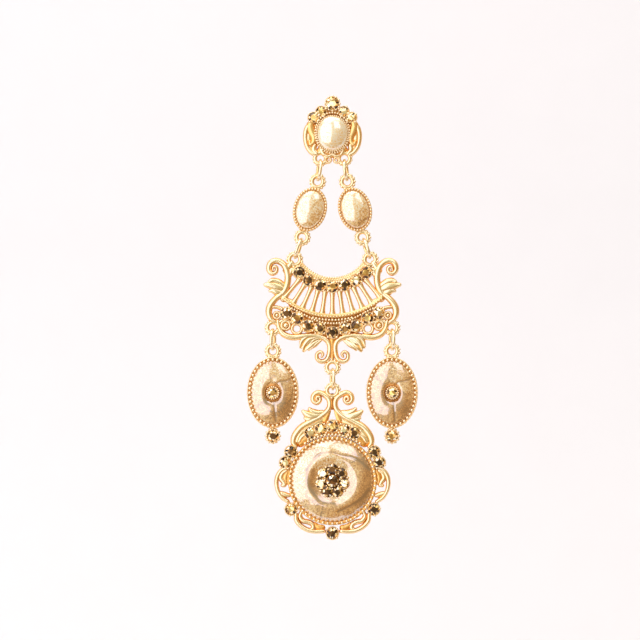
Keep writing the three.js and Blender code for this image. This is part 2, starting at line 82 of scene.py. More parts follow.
# Crystals: the radius of each kind, and a shade for each of them in turn, from 0 for white to 1 for dark, a
# painted reflection in its table.
CRYSTALS = {
    "stud_stone": (STUD_STONE_RADIUS, (0.35, 0.4, 0.1, 0.15)),
    "crescent_upper_stone": (1.28, (0.85, 0.7, 0.9, 0.4, 0.7, 0.05, 0.4)),
    "crescent_lower_stone": (1.28, (0.8, 0.4, 0.85, 0.8, 0.95, 0.7, 0.6, 0.25, 0.0)),
    "drop_centre_stone": (1.15, (0.3, 0.3)),
    "drop_tip_stone": (TIP_RADIUS, (0.85, 0.45)),
    "pendant_stone": (1.22, (0.05, 0.25, 0.4, 0.0, 0.6, 0.65, 0.15, 0.25, 0.85, 0.9, 0.8, 0.8)),
}
# The painted reflections in the crown stone, the flower's petals and the flower's heart.
CROWN_SHADE = 0.2
FLOWER_SHADES = (0.0, 0.85, 0.7, 0.05, 0.15, 0.85, 0.75)
HEART_SHADE = 0.65  # of the stone in the middle of the flower


# ---- materials ----

# Scales of the patterns, in waves or cells to the metre.
CLOUDS = 420.0
CAST_PITS = 2100.0
FINE_GRAIN = 5200.0
TURNING_MARKS = 700.0
FLAKES = 5200.0
LARGE_FLAKES = 2600.0
DRIFTS = 190.0
SEAMS = 120.0
INNER_CELLS = 1300.0
# Scales of the patterns that take a facet's direction, to which this much of its place is added.
FACET_TONES = 2.9
FACET_LEANS = 3.1
PLACE_SHARE = 150.0

SEAM_WIDTH = 0.00012  # as a square of the seam pattern's distance from its middle


class Signal:
    """A socket of a material. Arithmetic on it adds Math nodes."""

    def __init__(self, finish, socket):
        self.finish = finish
        self.socket = socket

    def _math(self, operation, first, second):
        return self.finish.node("ShaderNodeMath", {"operation": operation}, {0: first, 1: second})

    def __add__(self, other):
        return self._math("ADD", self, other)

    def __sub__(self, other):
        return self._math("SUBTRACT", self, other)

    def __rsub__(self, other):
        return self._math("SUBTRACT", other, self)

    def __mul__(self, other):
        return self._math("MULTIPLY", self, other)

    def __pow__(self, other):
        return self._math("POWER", self, other)

    def __gt__(self, other):
        return self._math("GREATER_THAN", self, other)

    def __lt__(self, other):
        return self._math("LESS_THAN", self, other)

    __radd__ = __add__
    __rmul__ = __mul__


class Finish:
    """A material with one Principled shader, whose constant values are given by socket name."""

    def __init__(self, name, constants):
        self.material = bpy.data.materials.new(name)
        self.material.use_nodes = True
        self.tree = self.material.node_tree
        self.shader = self.tree.nodes["Principled BSDF"]
        for socket, value in constants.items():
            self.shader.inputs[socket].default_value = value

    def node(self, kind, settings, inputs, output=0):
        made = self.tree.nodes.new(kind)
        for key, value in settings.items():
            if key == "stops":
                self._stops(made.color_ramp, value)
            else:
                setattr(made, key, value)
        for key, value in inputs.items():
            self._set(made.inputs[key], value)
        return Signal(self, made.outputs[output])

    def _set(self, socket, value):
        if isinstance(value, Signal):
            self.tree.links.new(value.socket, socket)
        else:
            socket.default_value = value

    def _stops(self, ramp, stops):
        while len(ramp.elements) < len(stops):
            ramp.elements.new(1.0)
        for element, (place, colour) in zip(ramp.elements, stops):
            element.position = place
            element.color = (*colour, 1.0)

    def feed(self, socket, value):
        self._set(self.shader.inputs[socket], value)

    def place(self):
        return self.node("ShaderNodeTexCoord", {}, {}, "Object")

    def facing(self):
        return self.node("ShaderNodeNewGeometry", {}, {}, "Normal")

    def noise(self, place, scale, detail=2.0, roughness=0.5):
        sockets = {"Vector": place, "Scale": scale, "Detail": detail, "Roughness": roughness}
        return self.node("ShaderNodeTexNoise", {}, sockets, "Fac")

    def shade(self):
        """The shade that the points of the mesh carry."""
        return self.node("ShaderNodeAttribute", {"attribute_name": "shade"}, {}, "Fac")

    def cells(self, place, scale):
        """A colour for each cell of a pattern of cells."""
        return self.node("ShaderNodeTexVoronoi", {}, {"Vector": place, "Scale": scale}, "Color")

    def part(self, colour, name):
        return self.node("ShaderNodeSeparateColor", {}, {"Color": colour}, name)

    def ramp(self, value, stops):
        return self.node("ShaderNodeValToRGB", {"stops": stops}, {"Fac": value}, "Color")

    def mix(self, factor, first, second):
        settings = {"data_type": "RGBA", "clamp_factor": True}
        return self.node("ShaderNodeMix", settings, {0: factor, 6: first, 7: second}, 2)

    def vector(self, operation, first, second):
        return self.node("ShaderNodeVectorMath", {"operation": operation}, {0: first, 1: second})

    def leaning(self, colour, amount):
        """The surface's own direction plus a colour's distance from grey times amount, at length one."""
        push = self.vector("SUBTRACT", colour, (0.5, 0.5, 0.5))
        push = self.vector("MULTIPLY", push, (amount, amount, amount))
        pushed = self.vector("ADD", self.facing(), push)
        return self.node("ShaderNodeVectorMath", {"operation": "NORMALIZE"}, {0: pushed})

    def bump(self, height, distance, strength):
        sockets = {"Height": height, "Distance": distance, "Strength": strength}
        return self.node("ShaderNodeBump", {}, sockets, "Normal")


def gold_finish():
    """Gold plating over a cast surface: bright on the crests with a painted highlight, orange-brown in the
    hollows with painted shade.
    """
    gold = Finish("polished_gold_plating", {"Metallic": 1.0})
    place = gold.place()
    hollow = gold.shade()
    cloud = gold.noise(place, CLOUDS, 3.0)
    grain = gold.noise(place, FINE_GRAIN, 3.0, 0.6)
    shade_and_tone = hollow * 0.9 + (cloud - 0.5) * 0.4
    # Pale on the crests as a painted highlight, orange to brown in the hollows as painted shade.
    stops = [
        (0.0, (0.96, 0.85, 0.65)),
        (0.28, (0.97, 0.76, 0.43)),
        (0.58, (0.95, 0.55, 0.18)),
        (0.84, (0.64, 0.28, 0.07)),
        (1.0, (0.28, 0.12, 0.03)),
    ]
    gold.feed("Base Color", gold.ramp(shade_and_tone, stops))
    gold.feed("Roughness", 0.14 + grain * 0.1 + hollow * 0.14)
    relief = gold.noise(place, CAST_PITS) * 0.7 + grain * 0.3
    gold.feed("Normal", gold.bump(relief, 0.00004, 0.5))
    return gold.material


def post_finish():
    """Drawn gold-coloured steel with fine turning marks along the post."""
    post = Finish("gold_coloured_steel", {"Metallic": 1.0})
    stretched = post.node("ShaderNodeMapping", {}, {"Vector": post.place(), "Scale": (1.0, 12.0, 1.0)})
    marks = post.noise(stretched, TURNING_MARKS, 3.0)
    post.feed("Base Color", post.mix(marks, (0.86, 0.68, 0.38, 1.0), (0.97, 0.84, 0.58, 1.0)))
    post.feed("Roughness", 0.2 + marks * 0.2)
    post.feed("Normal", post.bump(marks, 0.00001, 0.4))
    return post.material


def resin_finish():
    """Fine gold and brown glitter, each flake with its own tilt, under a clear and glossy skin.

    The shade is 0 for clean glitter. Above 0 it darkens the glitter as painted shade, below 0 it pales it
    as painted light."""
    constants = {"Metallic": 0.1, "IOR": 2.6, "Coat Weight": 1.0, "Coat Roughness": 0.05, "Coat IOR": 3.0}
    resin = Finish("glitter_under_clear_resin", constants)
    place = resin.place()
    tint = resin.cells(place, FLAKES)
    pick = resin.part(tint, "Red")
    large = resin.part(resin.cells(place, LARGE_FLAKES), "Green")
    drift = resin.noise(place, DRIFTS, 3.0)
    seam = (resin.noise(place, SEAMS, 1.0) - 0.5) ** 2 < SEAM_WIDTH
    painted_shading = resin.shade()
    painted_light = resin.node("ShaderNodeMath", {"operation": "MINIMUM"}, {0: painted_shading, 1: 0.0})
    bright = pick * 0.55 + large * 0.4 + (drift - 0.5) * 0.6 + 0.1 - seam * 0.25
    # Painted shade darkens the glitter where the shading is above 0; painted light pales it below 0.
    bright = bright * (1.13 - painted_shading * 0.38 + painted_light * 0.7) - painted_light * 0.42
    stops = [
        (0.0, (0.2, 0.08, 0.02)),
        (0.25, (0.42, 0.18, 0.045)),
        (0.5, (0.74, 0.36, 0.1)),
        (0.78, (1.0, 0.66, 0.26)),
        (1.0, (1.0, 0.92, 0.68)),
    ]
    resin.feed("Base Color", resin.ramp(bright, stops))
    resin.feed("Roughness", 0.07 + pick * 0.06)
    resin.feed("Normal", resin.leaning(tint, 0.12))
    return resin.material


def crystal_finish():
    """Bronze foil-backed crystal: each facet, known by its direction, is dark brown, gold or pale: the gold
    coating, with painted reflections of dark and light.
    """
    crystal = Finish("bronze_crystal", {"Metallic": 1.0, "Coat Weight": 1.0, "Coat Roughness": 0.01})
    place = crystal.place()
    side = crystal.node("ShaderNodeTexCoord", {}, {}, "Normal")
    straight_out = {0: side, 1: (0, -1, 0)}
    front = crystal.node("ShaderNodeVectorMath", {"operation": "DOT_PRODUCT"}, straight_out, "Value")
    share = crystal.vector("MULTIPLY", place, (PLACE_SHARE, PLACE_SHARE, PLACE_SHARE))
    known = crystal.vector("ADD", side, share)
    facet = crystal.noise(known, FACET_TONES, 1.0)
    # Cells of painted glints in the table, as if the facets behind it showed through; they also vary the
    # roughness.
    depth = crystal.part(crystal.cells(place, INNER_CELLS), "Red")
    tone = 1 - crystal.shade()
    stops = [
        (0.0, (0.05, 0.02, 0.005)),
        (0.34, (0.14, 0.065, 0.018)),
        (0.48, (0.55, 0.30, 0.08)),
        (0.7, (0.98, 0.70, 0.28)),
        (1.0, (1.0, 0.93, 0.74)),
    ]
    # The table takes its stone's painted reflection; each crown facet gets a painted reflection by its
    # direction.
    table = crystal.ramp(tone + (depth - 0.5) * 0.2, stops)
    crown = crystal.ramp((facet - 0.5) * 4.6 + 0.54 + tone * 0.2, stops)
    crystal.feed("Base Color", crystal.mix(front > 0.98, crown, table))
    sockets = {"Vector": known, "Scale": FACET_LEANS, "Detail": 0.0}
    lean = crystal.node("ShaderNodeTexNoise", {}, sockets, "Color")
    crystal.feed("Normal", crystal.leaning(lean, 1.6))
    crystal.feed("Roughness", 0.04 + depth * 0.06)
    return crystal.material


GOLD = gold_finish()
POST = post_finish()
RESIN = resin_finish()
CRYSTAL = crystal_finish()


# ---- shapes: points in drawing millimetres, faces, and a shade for each point ----
#
# The shade of gold says how much of a hollow the point lies in, from 0 for a crest to 1 for a deep hollow,
# and paints the gold darker there as painted shade.


def grid(rows, columns, round_rows=False, round_columns=True):
    """Four-sided faces between neighbouring points of a grid, closed on itself where it is round."""
    i = np.arange(rows if round_rows else rows - 1)
    j = np.arange(columns if round_columns else columns - 1)
    i, j = np.meshgrid(i, j, indexing="ij")
    after_i, after_j = (i + 1) % rows, (j + 1) % columns
    corners = [i * columns + j, i * columns + after_j, after_i * columns + after_j, after_i * columns + j]
    return np.stack(corners, -1).reshape(-1, 4)


def full_turn(count):
    """Angles spread evenly round a circle."""
    return np.linspace(0, 2 * np.pi, count, endpoint=False)


def raised(flat, z):
    """A grid of places on the drawing, each at its height, as one row of points."""
    return np.dstack([flat, np.broadcast_to(z, flat.shape[:2])]).reshape(-1, 3)


def closed_faces(rows, corners, flipped=False):
    """The faces of a tube of rows of corners with both its ends closed; flipped turns them all round."""
    sides = grid(rows, corners)
    ends = np.array([np.arange(corners)[::-1], (rows - 1) * corners + np.arange(corners)])
    if flipped:
        sides, ends = sides[:, ::-1], ends[:, ::-1]
    return sides.tolist() + ends.tolist()


def smooth_curve(rows, steps):
    """A Catmull-Rom curve through rows, steps points to each span, with its derivative at each point."""
    rows = np.asarray(rows, float)
    padded = np.vstack([2 * rows[0] - rows[1], rows, 2 * rows[-1] - rows[-2]])
    count = (len(rows) - 1) * steps + 1
    span = np.minimum(np.arange(count) // steps, len(rows) - 2)
    t = (np.arange(count) / steps - span)[:, None]
    a, b, c, d = (padded[span + k] for k in range(4))
    curve = b + 0.5 * t * (c - a + t * (2 * a - 5 * b + 4 * c - d + t * (3 * (b - c) + d - a)))
    slope = 0.5 * (c - a) + t * (2 * a - 5 * b + 4 * c - d) + 1.5 * t**2 * (3 * (b - c) + d - a)
    return curve, slope


def mirrored(rows):
    """Rows with the sign of their first number turned."""
    return [(-row[0], *row[1:]) for row in rows]


def whole(rows):
    """Rows that start at the middle and go right, with the mirror image of those beside it in front."""
    return mirrored([row for row in rows[::-1] if row[0] > 0]) + rows


# Profiles of cast wire, their right halves written out: across, to 1 at half the width; up, from 0 at the
# back to 1 at the crest; and each corner's painted shade, darker on the sides.
HALF_ROUND = whole(
    [(0, 1, 0), (0.38, 0.96, 0.12), (0.72, 0.83, 0.5), (0.93, 0.6, 0.68), (1, 0.28, 0.8), (0.86, 0, 0.85)]
)
VEINED = whole(
    [(0.1, 0.76, 0.6), (0.3, 0.94, 0.1), (0.62, 1, 0), (0.9, 0.82, 0.3), (1, 0.45, 0.8), (0.85, 0, 0.8)]
)


def flat_bar(shade):
    """The profile of a plain bar that fills the space between other wires, all of one painted shade."""
    return whole([(0.85, 1, shade), (1, 0.8, shade), (1, 0, shade)])


# Points to each span of a wire and of a dome's profile, and along an arc-shaped band.
WIRE_STEPS = 6
DOME_STEPS = 5
BAND_STEPS = 60

SHADED_ROUND = np.array(HALF_ROUND) * (1, 1, 0.5) + (0, 0, 0.42)  # the half-round wire, with painted shade all over
# Flat bars dark with painted shade, deep and half, for the shade between wires; the pale bar has little.
DEEP_SHADE_BAR = flat_bar(1.0)
HALF_SHADE_BAR = flat_bar(0.6)
PALE_BAR = flat_bar(0.15)


def wire(rows, profile=HALF_ROUND, height=CAST_HEIGHT):
    """A profile carried along a smooth curve through rows of x, y, width and perhaps a share of the height.

    At each point it stands square to the curve. At both ends it closes in a quarter circle, in which the
    width shrinks by the cosine of the turn, and the height by about half as much."""
    rows = np.asarray([row if len(row) == 4 else (*row, 1.0) for row in rows], float)
    curve, slope = smooth_curve(rows, WIRE_STEPS)
    along = slope[:, :2] / np.linalg.norm(slope[:, :2], axis=1, keepdims=True)
    centre, half, rise = curve[:, :2], curve[:, 2] / 2, curve[:, 3]
    turn = np.radians([78, 52, 26])
    start = centre[0] - along[0] * half[0] * np.sin(turn)[:, None]
    end = centre[-1] + along[-1] * half[-1] * np.sin(turn)[::-1, None]
    shrink = np.concatenate([np.cos(turn), np.ones(len(centre)), np.cos(turn)[::-1]])
    centre = np.vstack([start, centre, end])
    along = np.vstack([np.repeat(along[:1], 3, 0), along, np.repeat(along[-1:], 3, 0)])
    half = np.concatenate([[half[0]] * 3, half, [half[-1]] * 3]) * shrink
    rise = np.concatenate([[rise[0]] * 3, rise, [rise[-1]] * 3]) * (0.45 + 0.55 * shrink) * height
    left = np.stack([-along[:, 1], along[:, 0]], 1)
    across, up, shade = np.transpose(profile)
    flat = centre[:, None] - left[:, None] * (half[:, None] * across)[..., None]
    z = BACK + rise[:, None] * up
    faces = closed_faces(len(centre), len(profile), flipped=True)
    return raised(flat, z), faces, np.tile(shade, len(centre))


def hoop(x, y, half_height, profile, half_width=None, segments=48):
    """A closed profile of distance outwards, height and shade, carried round a circle or an oval.

    Outwards is square to the oval at each point, so the hoop is equally wide all round."""
    half_width = half_width or half_height
    turn = full_turn(segments)
    cos, sin = np.cos(turn), np.sin(turn)
    out = np.stack([cos / half_width, sin / half_height], 1)
    out /= np.linalg.norm(out, axis=1, keepdims=True)
    edge = np.stack([x + half_width * cos, y + half_height * sin], 1)
    away, z, shade = np.asarray(profile, float).T
    flat = edge[:, None] + out[:, None] * away[:, None]
    return raised(flat, z), grid(segments, len(z), round_rows=True), np.tile(shade, segments)


def round_bar(thickness):
    """The profile of a round bar for a hoop: a circle of half the thickness, with painted shade towards its
    sides.
    """
    turn = full_turn(12)
    half = thickness / 2
    return np.stack([half * np.cos(turn), half * np.sin(turn), 0.75 * np.cos(turn) ** 2], 1)


def turned(x, y, profile, half_width=1.0, half_height=1.0, segments=48):
    """A profile of radius, height and shade turned about an axis towards the viewer, its ends closed.

    Where half widths and heights are given, the radius is a share of them."""
    radius, z, shade = np.asarray(profile, float).T
    turn = full_turn(segments)
    across, up = np.outer(radius, np.cos(turn)), np.outer(radius, np.sin(turn))
    flat = np.stack([x + half_width * across, y + half_height * up], -1)
    return raised(flat, z[:, None]), closed_faces(len(z), segments), np.repeat(shade, segments)


def beads(places, radius, z, turns=8, rows=5):
    """A small ball at each place: rings of points from pole to pole, all balls in one array.

    A point's shade falls with its height, so that the gaps between beads are dark with painted shade."""
    places = np.asarray(places, float)
    pole = 0.12  # the flat at each pole, in radians
    fall = np.linspace(pole, np.pi - pole, rows)
    turn = full_turn(turns)
    across, up = np.outer(np.sin(fall), np.cos(turn)), np.outer(np.sin(fall), np.sin(turn))
    ball = np.dstack([across, up, np.outer(-np.cos(fall), np.ones(turns))]).reshape(-1, 3)
    centres = np.column_stack([places[:, 0], places[:, 1], np.full(len(places), z)])
    points = (centres[:, None] + radius * ball).reshape(-1, 3)
    sides = grid(rows, turns)
    size = turns * rows
    shift = (np.arange(len(places)) * size)[:, None, None]
    faces = (sides + shift).reshape(-1, 4).tolist()
    low, high = np.arange(turns)[::-1], size - turns + np.arange(turns)
    for cap in (low, high):
        faces += (cap + shift[:, 0]).tolist()
    shade = np.clip(0.55 - 0.75 * ball[:, 2], 0, 1)
    return points, faces, np.tile(shade, len(places))


def ring_places(x, y, radius, count, half_width=None, start=0.0):
    """Places spread evenly along a circle or an oval, found by walking its length."""
    half_width = half_width or radius
    turn = np.linspace(0, 2 * np.pi, 721) + np.radians(start)
    path = np.stack([x + half_width * np.cos(turn), y + radius * np.sin(turn)], 1)
    return along_path(path, count, closed=True)


def directions(degrees):
    """Steps of length one at angles from the right towards up."""
    angle = np.radians(degrees)
    return np.stack([np.cos(angle), np.sin(angle)], 1)


def arc_places(radius, from_angle, to_angle, count):
    """Places spread evenly on an arc about the section's origin, its angles measured from straight down."""
    turn = np.radians(np.linspace(from_angle, to_angle, count))
    return np.stack([radius * np.sin(turn), -radius * np.cos(turn)], 1)


def along_path(path, count, closed=False):
    """Places at equal distances along a path of points."""
    length = np.concatenate([[0], np.cumsum(np.linalg.norm(np.diff(path, axis=0), axis=1))])
    stops = np.linspace(0, length[-1], count + 1)[:-1] if closed else np.linspace(0, length[-1], count)
    return np.stack([np.interp(stops, length, path[:, k]) for k in range(2)], 1)


def band(inner, outer, half_angle):
    """A flat arc-shaped plate with softened edges, between two radii and below the section's origin."""
    ray = arc_places(1.0, -half_angle, half_angle, BAND_STEPS)
    soft, top = 0.16, CAST_HEIGHT
    radius = np.array([inner, inner, inner + soft, outer - soft, outer, outer])
    z = BACK + np.array([0, top - soft, top, top, top - soft, 0])
    # Painted shade, darker on the softened edges.
    shade = [0.8, 0.6, 0.35, 0.35, 0.6, 0.8]
    flat = ray[:, None] * radius[:, None]
    return raised(flat, z), closed_faces(len(ray), len(z), flipped=True), np.tile(shade, len(ray))


def spread_between(first, second, height):
    """A plate painted dark as shade between two rows of equally many places: straight lines across, flat on
    both sides.
    """
    share = np.linspace(0, 1, 9)[:, None, None]
    flat = first + (second - first) * share
    front = np.dstack([flat, np.full(flat.shape[:2], BACK + height)])
    behind = np.dstack([flat, np.full(flat.shape[:2], BACK)])[:, ::-1]
    loop = np.concatenate([front, behind], 1)
    rows, corners = loop.shape[:2]
    return loop.reshape(-1, 3), closed_faces(rows, corners), np.full(rows * corners, 1.0)


# The cut of the crystals, as shares of their radius.
TABLE = 0.55
CROWN_RISE = 0.37
POINT_DEPTH = 0.7


def chaton(x, y, z, radius, turn, shade):
    """A cut crystal of some shade: a table of eight corners, a girdle of sixteen and a point behind."""
    table = np.radians(45 * np.arange(8) + turn)
    girdle = np.radians(22.5 * np.arange(16) + turn)
    points = np.vstack(
        [
            np.column_stack([TABLE * np.cos(table), TABLE * np.sin(table), np.full(8, CROWN_RISE)]),
            np.column_stack([np.cos(girdle), np.sin(girdle), np.zeros(16)]),
            [[0, 0, -POINT_DEPTH]],
        ]
    )
    faces = [list(range(8))]
    for k in range(8):
        left, middle, right = 8 + (2 * k - 1) % 16, 8 + 2 * k, 8 + 2 * k + 1
        faces += [[k, left, middle], [k, middle, right], [k, right, (k + 1) % 8]]
    faces += [[24, 8 + (k + 1) % 16, 8 + k] for k in range(16)]
    return points * radius + (x, y, z), faces, np.full(25, shade)


# ---- sections: where each casting hangs, read from its CAD nodes ----


def middle(node):
    """The middle of a node's box on the drawing, in millimetres."""
    low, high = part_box(node)
    return (low.x + high.x) / 2 / MM, (low.z + high.z) / 2 / MM


class Section:
    """A place on the drawing with its own origin and tilt, the tilt swinging what is below to the right."""

    def __init__(self, x, y, tilt=0.0):
        self.x, self.y = x, y
        self.tilt = np.radians(tilt)

    def stand(self, points):
        """Drawing points turned by the tilt, put at the section's place and stood upright, in metres."""
        cos, sin = np.cos(self.tilt), np.sin(self.tilt)
        x = self.x + points[:, 0] * cos - points[:, 1] * sin
        y = self.y + points[:, 0] * sin + points[:, 1] * cos
        return np.column_stack([x, -(points[:, 2] + HANG_DEPTH), y]) * MM

    def local(self, node):
        """The middle of an untilted section's node, in the section's own millimetres."""
        x, y = middle(node)
        return x - self.x, y - self.y


def new_mesh(name, points, faces, material, smooth=True):
    """A mesh of one material."""
    mesh = bpy.data.meshes.new(name)
    mesh.from_pydata(points.tolist(), [], faces)
    mesh.polygons.foreach_set("use_smooth", np.full(len(faces), smooth))
    mesh.materials.append(material)
    return mesh


def put_in_scene(name, data):
    """An object that shows a mesh, a lamp or a camera in the scene."""
    made = bpy.data.objects.new(name, data)
    bpy.context.scene.collection.objects.link(made)
    return made


class Casting:
    """Shapes gathered into one mesh."""

    def __init__(self, section):
        self.section = section
        self.points, self.faces, self.shades = [], [], []
        self.count = 0

    def add(self, shape):
        """Adds a shape. Its back lies a hair behind the last one's, so that no two are in one plane."""
        points, faces, shade = shape
        points = np.array(points)
        points[points[:, 2] < BACK + HAIR, 2] -= LAYER * len(self.points)
        self.points.append(points)
        self.faces += [[corner + self.count for corner in face] for face in faces]
        self.shades.append(shade)
        self.count += len(points)

    def both(self, *paths, **kind):
        """Adds a wire of some kind along each path, and its mirror image."""
        for rows in paths:
            self.add(wire(rows, **kind))
            self.add(wire(mirrored(rows), **kind))

    def piece(self, name, body, material, nodes, smooth=True):
        """Makes the mesh, with its shades, ride on its body in place of its nodes."""
        mesh = new_mesh(name, self.section.stand(np.vstack(self.points)), self.faces, material, smooth)
        shade = mesh.attributes.new("shade", "FLOAT", "POINT")
        shade.data.foreach_set("value", np.concatenate(self.shades).astype(np.float32))
        made = put_in_scene(name, mesh)
        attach(made, body)
        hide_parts(*nodes)


# ---- parts that every casting uses ----

LOOP_RADIUS = 1.23
LOOP_BAR = 0.92
LOOP_FLANGE = 0.54


def add_loop(casting, x, y, scallop=0.35):
    """A cast loop for a jump ring: a thick round bar in a thin one, edged with balls of radius scallop."""
    casting.add(hoop(x, y, LOOP_RADIUS, round_bar(LOOP_BAR)))
    casting.add(hoop(x, y, 1.17 + scallop, round_bar(LOOP_FLANGE)))
    edge = ring_places(x, y, 1.31 + scallop, 13, start=14)
    casting.add(beads(edge, radius=scallop, z=0.12, turns=10, rows=6))


def add_curl(casting, x, y, radius, width, boss=0.0):
    """The rolled end of a scroll: a small half-round ring, with a boss of some radius inside or a hole."""
    profile = [(a * width / 2, BACK + CAST_HEIGHT * up, shade) for a, up, shade in HALF_ROUND[::-1]]
    casting.add(hoop(x, y, radius, profile, segments=24))
    if boss:
        # A dark floor behind the boss, painted shade.
        floor = [(0.05, -0.4, 1), (radius, -0.4, 1), (radius, 0.1, 1), (0.05, 0.1, 1)]
        casting.add(turned(x, y, floor, segments=20))
        casting.add(beads([(x, y)], radius=boss, z=0.3, turns=14, rows=9))


# A cup's profile of radius, height and painted shade, dark inside and pale on its lip, drawn for a stone of
# radius CUP_STONE.
CUP_STONE = 1.15
CUP = [
    (0.3, BACK, 0.8),
    (1.2, BACK, 1.0),
    (1.4, BACK + 0.2, 1.0),
    (1.44, 0.1, 0.9),
    (1.4, 0.42, 0.6),
    (1.33, 0.68, 0.2),
    (1.25, 0.74, 0.1),
    (1.18, 0.66, 0.7),
    (1.15, 0.4, 1.0),
    (0.9, 0.15, 1.0),
]

CLAW = 0.27
CLAW_HEIGHT = 0.78


def add_cup(casting, x, y, share, lift=0.0):
    """The cup's profile, its radius times share, turned about a stone's place."""
    profile = [(radius * share, z + lift, shade) for radius, z, shade in CUP]
    casting.add(turned(x, y, profile, segments=24))


def add_setting(casting, x, y, turn=45.0, radius=STONE_RADIUS, claws=4):
    """A cup round a stone with claws bent over its edge, the first of them at an angle of turn."""
    add_cup(casting, x, y, radius / CUP_STONE)
    out = directions(turn + 360 / claws * np.arange(claws))
    casting.add(beads(np.array([x, y]) + out * radius * 1.14, CLAW, CLAW_HEIGHT, turns=10, rows=6))


def add_beaded_rim(casting, x, y, half_width, half_height, count, radius, z, plain=0.0, segments=72):
    """A bezel wall with a row of beads on it; plain is the width of smooth rim left outside the beads.

    Without much plain rim its lip drops well below the beads, whose middle is at z."""
    wall = 2 * radius + plain
    lip = z - 0.04 if plain > 0.1 else z - 0.34
    # Each corner's shade is painted shade: little on the lip, more on the wall and on the floor under the
    # beads.
    profile = [
        (-wall, BACK, 0.8),
        (-0.12, BACK, 0.8),
        (0.0, BACK + 0.14, 0.7),
        (0.0, lip - 0.3, 0.4),
        (-0.08, lip - 0.06, 0.05),
        (-plain + 0.02, lip, 0.1),
        (-plain - 0.06, z - 0.3, 0.7),
        (-wall + 0.04, z - 0.3, 0.7),
        (-wall, z - 0.5, 0.7),
    ]
    casting.add(hoop(x, y, half_height, profile, half_width, segments))
    inset = plain + radius
    row = ring_places(x, y, half_height - inset, count, half_width - inset, start=90)
    casting.add(beads(row, radius, z - 0.02))


RESIN_BACK = BACK + 0.3


def rippled(shape, depth=0.02, painted_shading=0.35):
    """A poured surface with the slight waves that resin sets with: depth times sines along three slants.

    Its glitter is painted darker to the lower right as painted shade, around a middle shade."""
    points, faces, _ = shape
    x, y, z = points.T
    painted_shading = painted_shading + 0.06 * (x - y)
    wave = np.sin(1.55 * x + 0.7 * y + 0.6) * np.cos(1.25 * y - 0.55 * x) + 0.5 * np.sin(0.8 * x - 1.9 * y)
    z = z + depth * wave * np.clip(z, 0, 1)
    return np.column_stack([x, y, z]), faces, painted_shading


def dome_between(inner, outer_width, outer_height, profile, segments=96):
    """A poured surface from a round opening to an oval edge: its share runs from 0 to 1 between them.

    Its height follows a smooth curve through rows of share and height, and walls drop to its back."""
    curve, _ = smooth_curve(profile, DOME_STEPS)
    share, z = curve[:, 0], curve[:, 1]
    share = np.concatenate([[share[0]], share, [share[-1]]])
    z = np.concatenate([[RESIN_BACK], z, [RESIN_BACK]])
    turn = full_turn(segments)
    width = inner + (outer_width - inner) * share
    height = inner + (outer_height - inner) * share
    flat = np.stack([np.outer(width, np.cos(turn)), np.outer(height, np.sin(turn))], -1)
    faces = grid(len(z), segments, round_rows=True)[:, ::-1]
    return raised(flat, z[:, None]), faces.tolist(), np.zeros(len(z) * segments)


def oval_dome(half_width, half_height, profile, y=0.0):
    """A domed oval of resin: a smooth curve through rows of share and height, turned and made oval."""
    curve, _ = smooth_curve(profile, DOME_STEPS)
    rows = [(0.02, RESIN_BACK, 0), (1.0, RESIN_BACK, 0)] + [(share, z, 0) for share, z in curve]
    return turned(0, y, rows, half_width, half_height, segments=72)


def streaked(shape, path, width, darker, groove):
    """A resin surface with a dark streak of painted shade and a groove along a smooth path.

    Both fade with the square of the distance from the path over a width, as a bell curve."""
    points, faces, shade = shape
    line = smooth_curve(path, 12)[0]
    gap = np.hypot(points[:, None, 0] - line[None, :, 0], points[:, None, 1] - line[None, :, 1]).min(1)
    near = np.exp(-((gap / width) ** 2))
    x, y, z = points.T
    return np.column_stack([x, y, z - groove * near * np.clip(z, 0, 1)]), faces, shade + darker * near


# ---- stud ----

stud = Section(0, 0)
_, DOME_Y = stud.local("stud_dome")
STUD_STONES = [stud.local(f"stud_stone_{k}") for k in (1, 2, 3, 4)]
STUD_CROWN = stud.local("stud_crown_stone")

STUD_OUTER_SCROLL = [
    (4.7, 2.0, 1.1),
    (5.7, 1.0, 1.25),
    (6.1, -0.9, 1.15),
    (5.75, -3.0, 1.1),
    (4.75, -4.5, 1.1),
    (3.85, -4.95, 0.9),
]
STUD_LEAF = [
    (4.7, 2.3, 1.5),
    (4.95, 1.4, 2.05),
    (4.65, 0.2, 2.1),
    (4.15, -1.0, 1.8),
    (4.25, -2.2, 1.45),
    (4.9, -2.7, 1.2),
    (5.15, -2.05, 0.95),
]
STUD_LOWER_LEAF = [(4.0, -2.9, 1.2), (4.2, -3.9, 1.4), (3.5, -4.8, 1.2)]
STUD_LOWER_CURL = [(2.6, -3.4, 1.3), (2.3, -4.3, 1.3), (1.9, -5.0, 1.0)]
STUD_FOOT_LEAF = [(0.0, -5.0, 1.1), (0.9, -5.35, 0.9), (1.7, -5.1, 0.6)]
# Flat bars that fill the space between the scrolls, the stones and the bezel, in painted shade.
STUD_CROWN_FILL = [(0, 5.6, 1.6), (0, 4.9, 1.7)]
STUD_UPPER_FILL = [(0.0, 4.6, 2.0), (2.6, 4.0, 2.2), (4.0, 2.6, 2.2)]
STUD_BEZEL_FILL = [(4.1, 1.6, 1.0), (3.85, -0.6, 1.0), (3.8, -2.6, 1.3)]
STUD_SCROLL_FILL = [(5.2, 0.9, 1.0), (5.3, -0.9, 1.6), (5.2, -2.8, 1.4), (4.5, -4.1, 1.4)]
STUD_FOOT_FILL = [(0.0, -5.0, 1.5), (1.6, -4.7, 1.4), (2.9, -3.9, 1.2)]
# The floor behind the dome, dark with painted shade.
STUD_FLOOR = [(0.02, -0.8, 0.6), (1, -0.8, 0.8), (1, 0.2, 0.8), (0.02, 0.2, 1)]
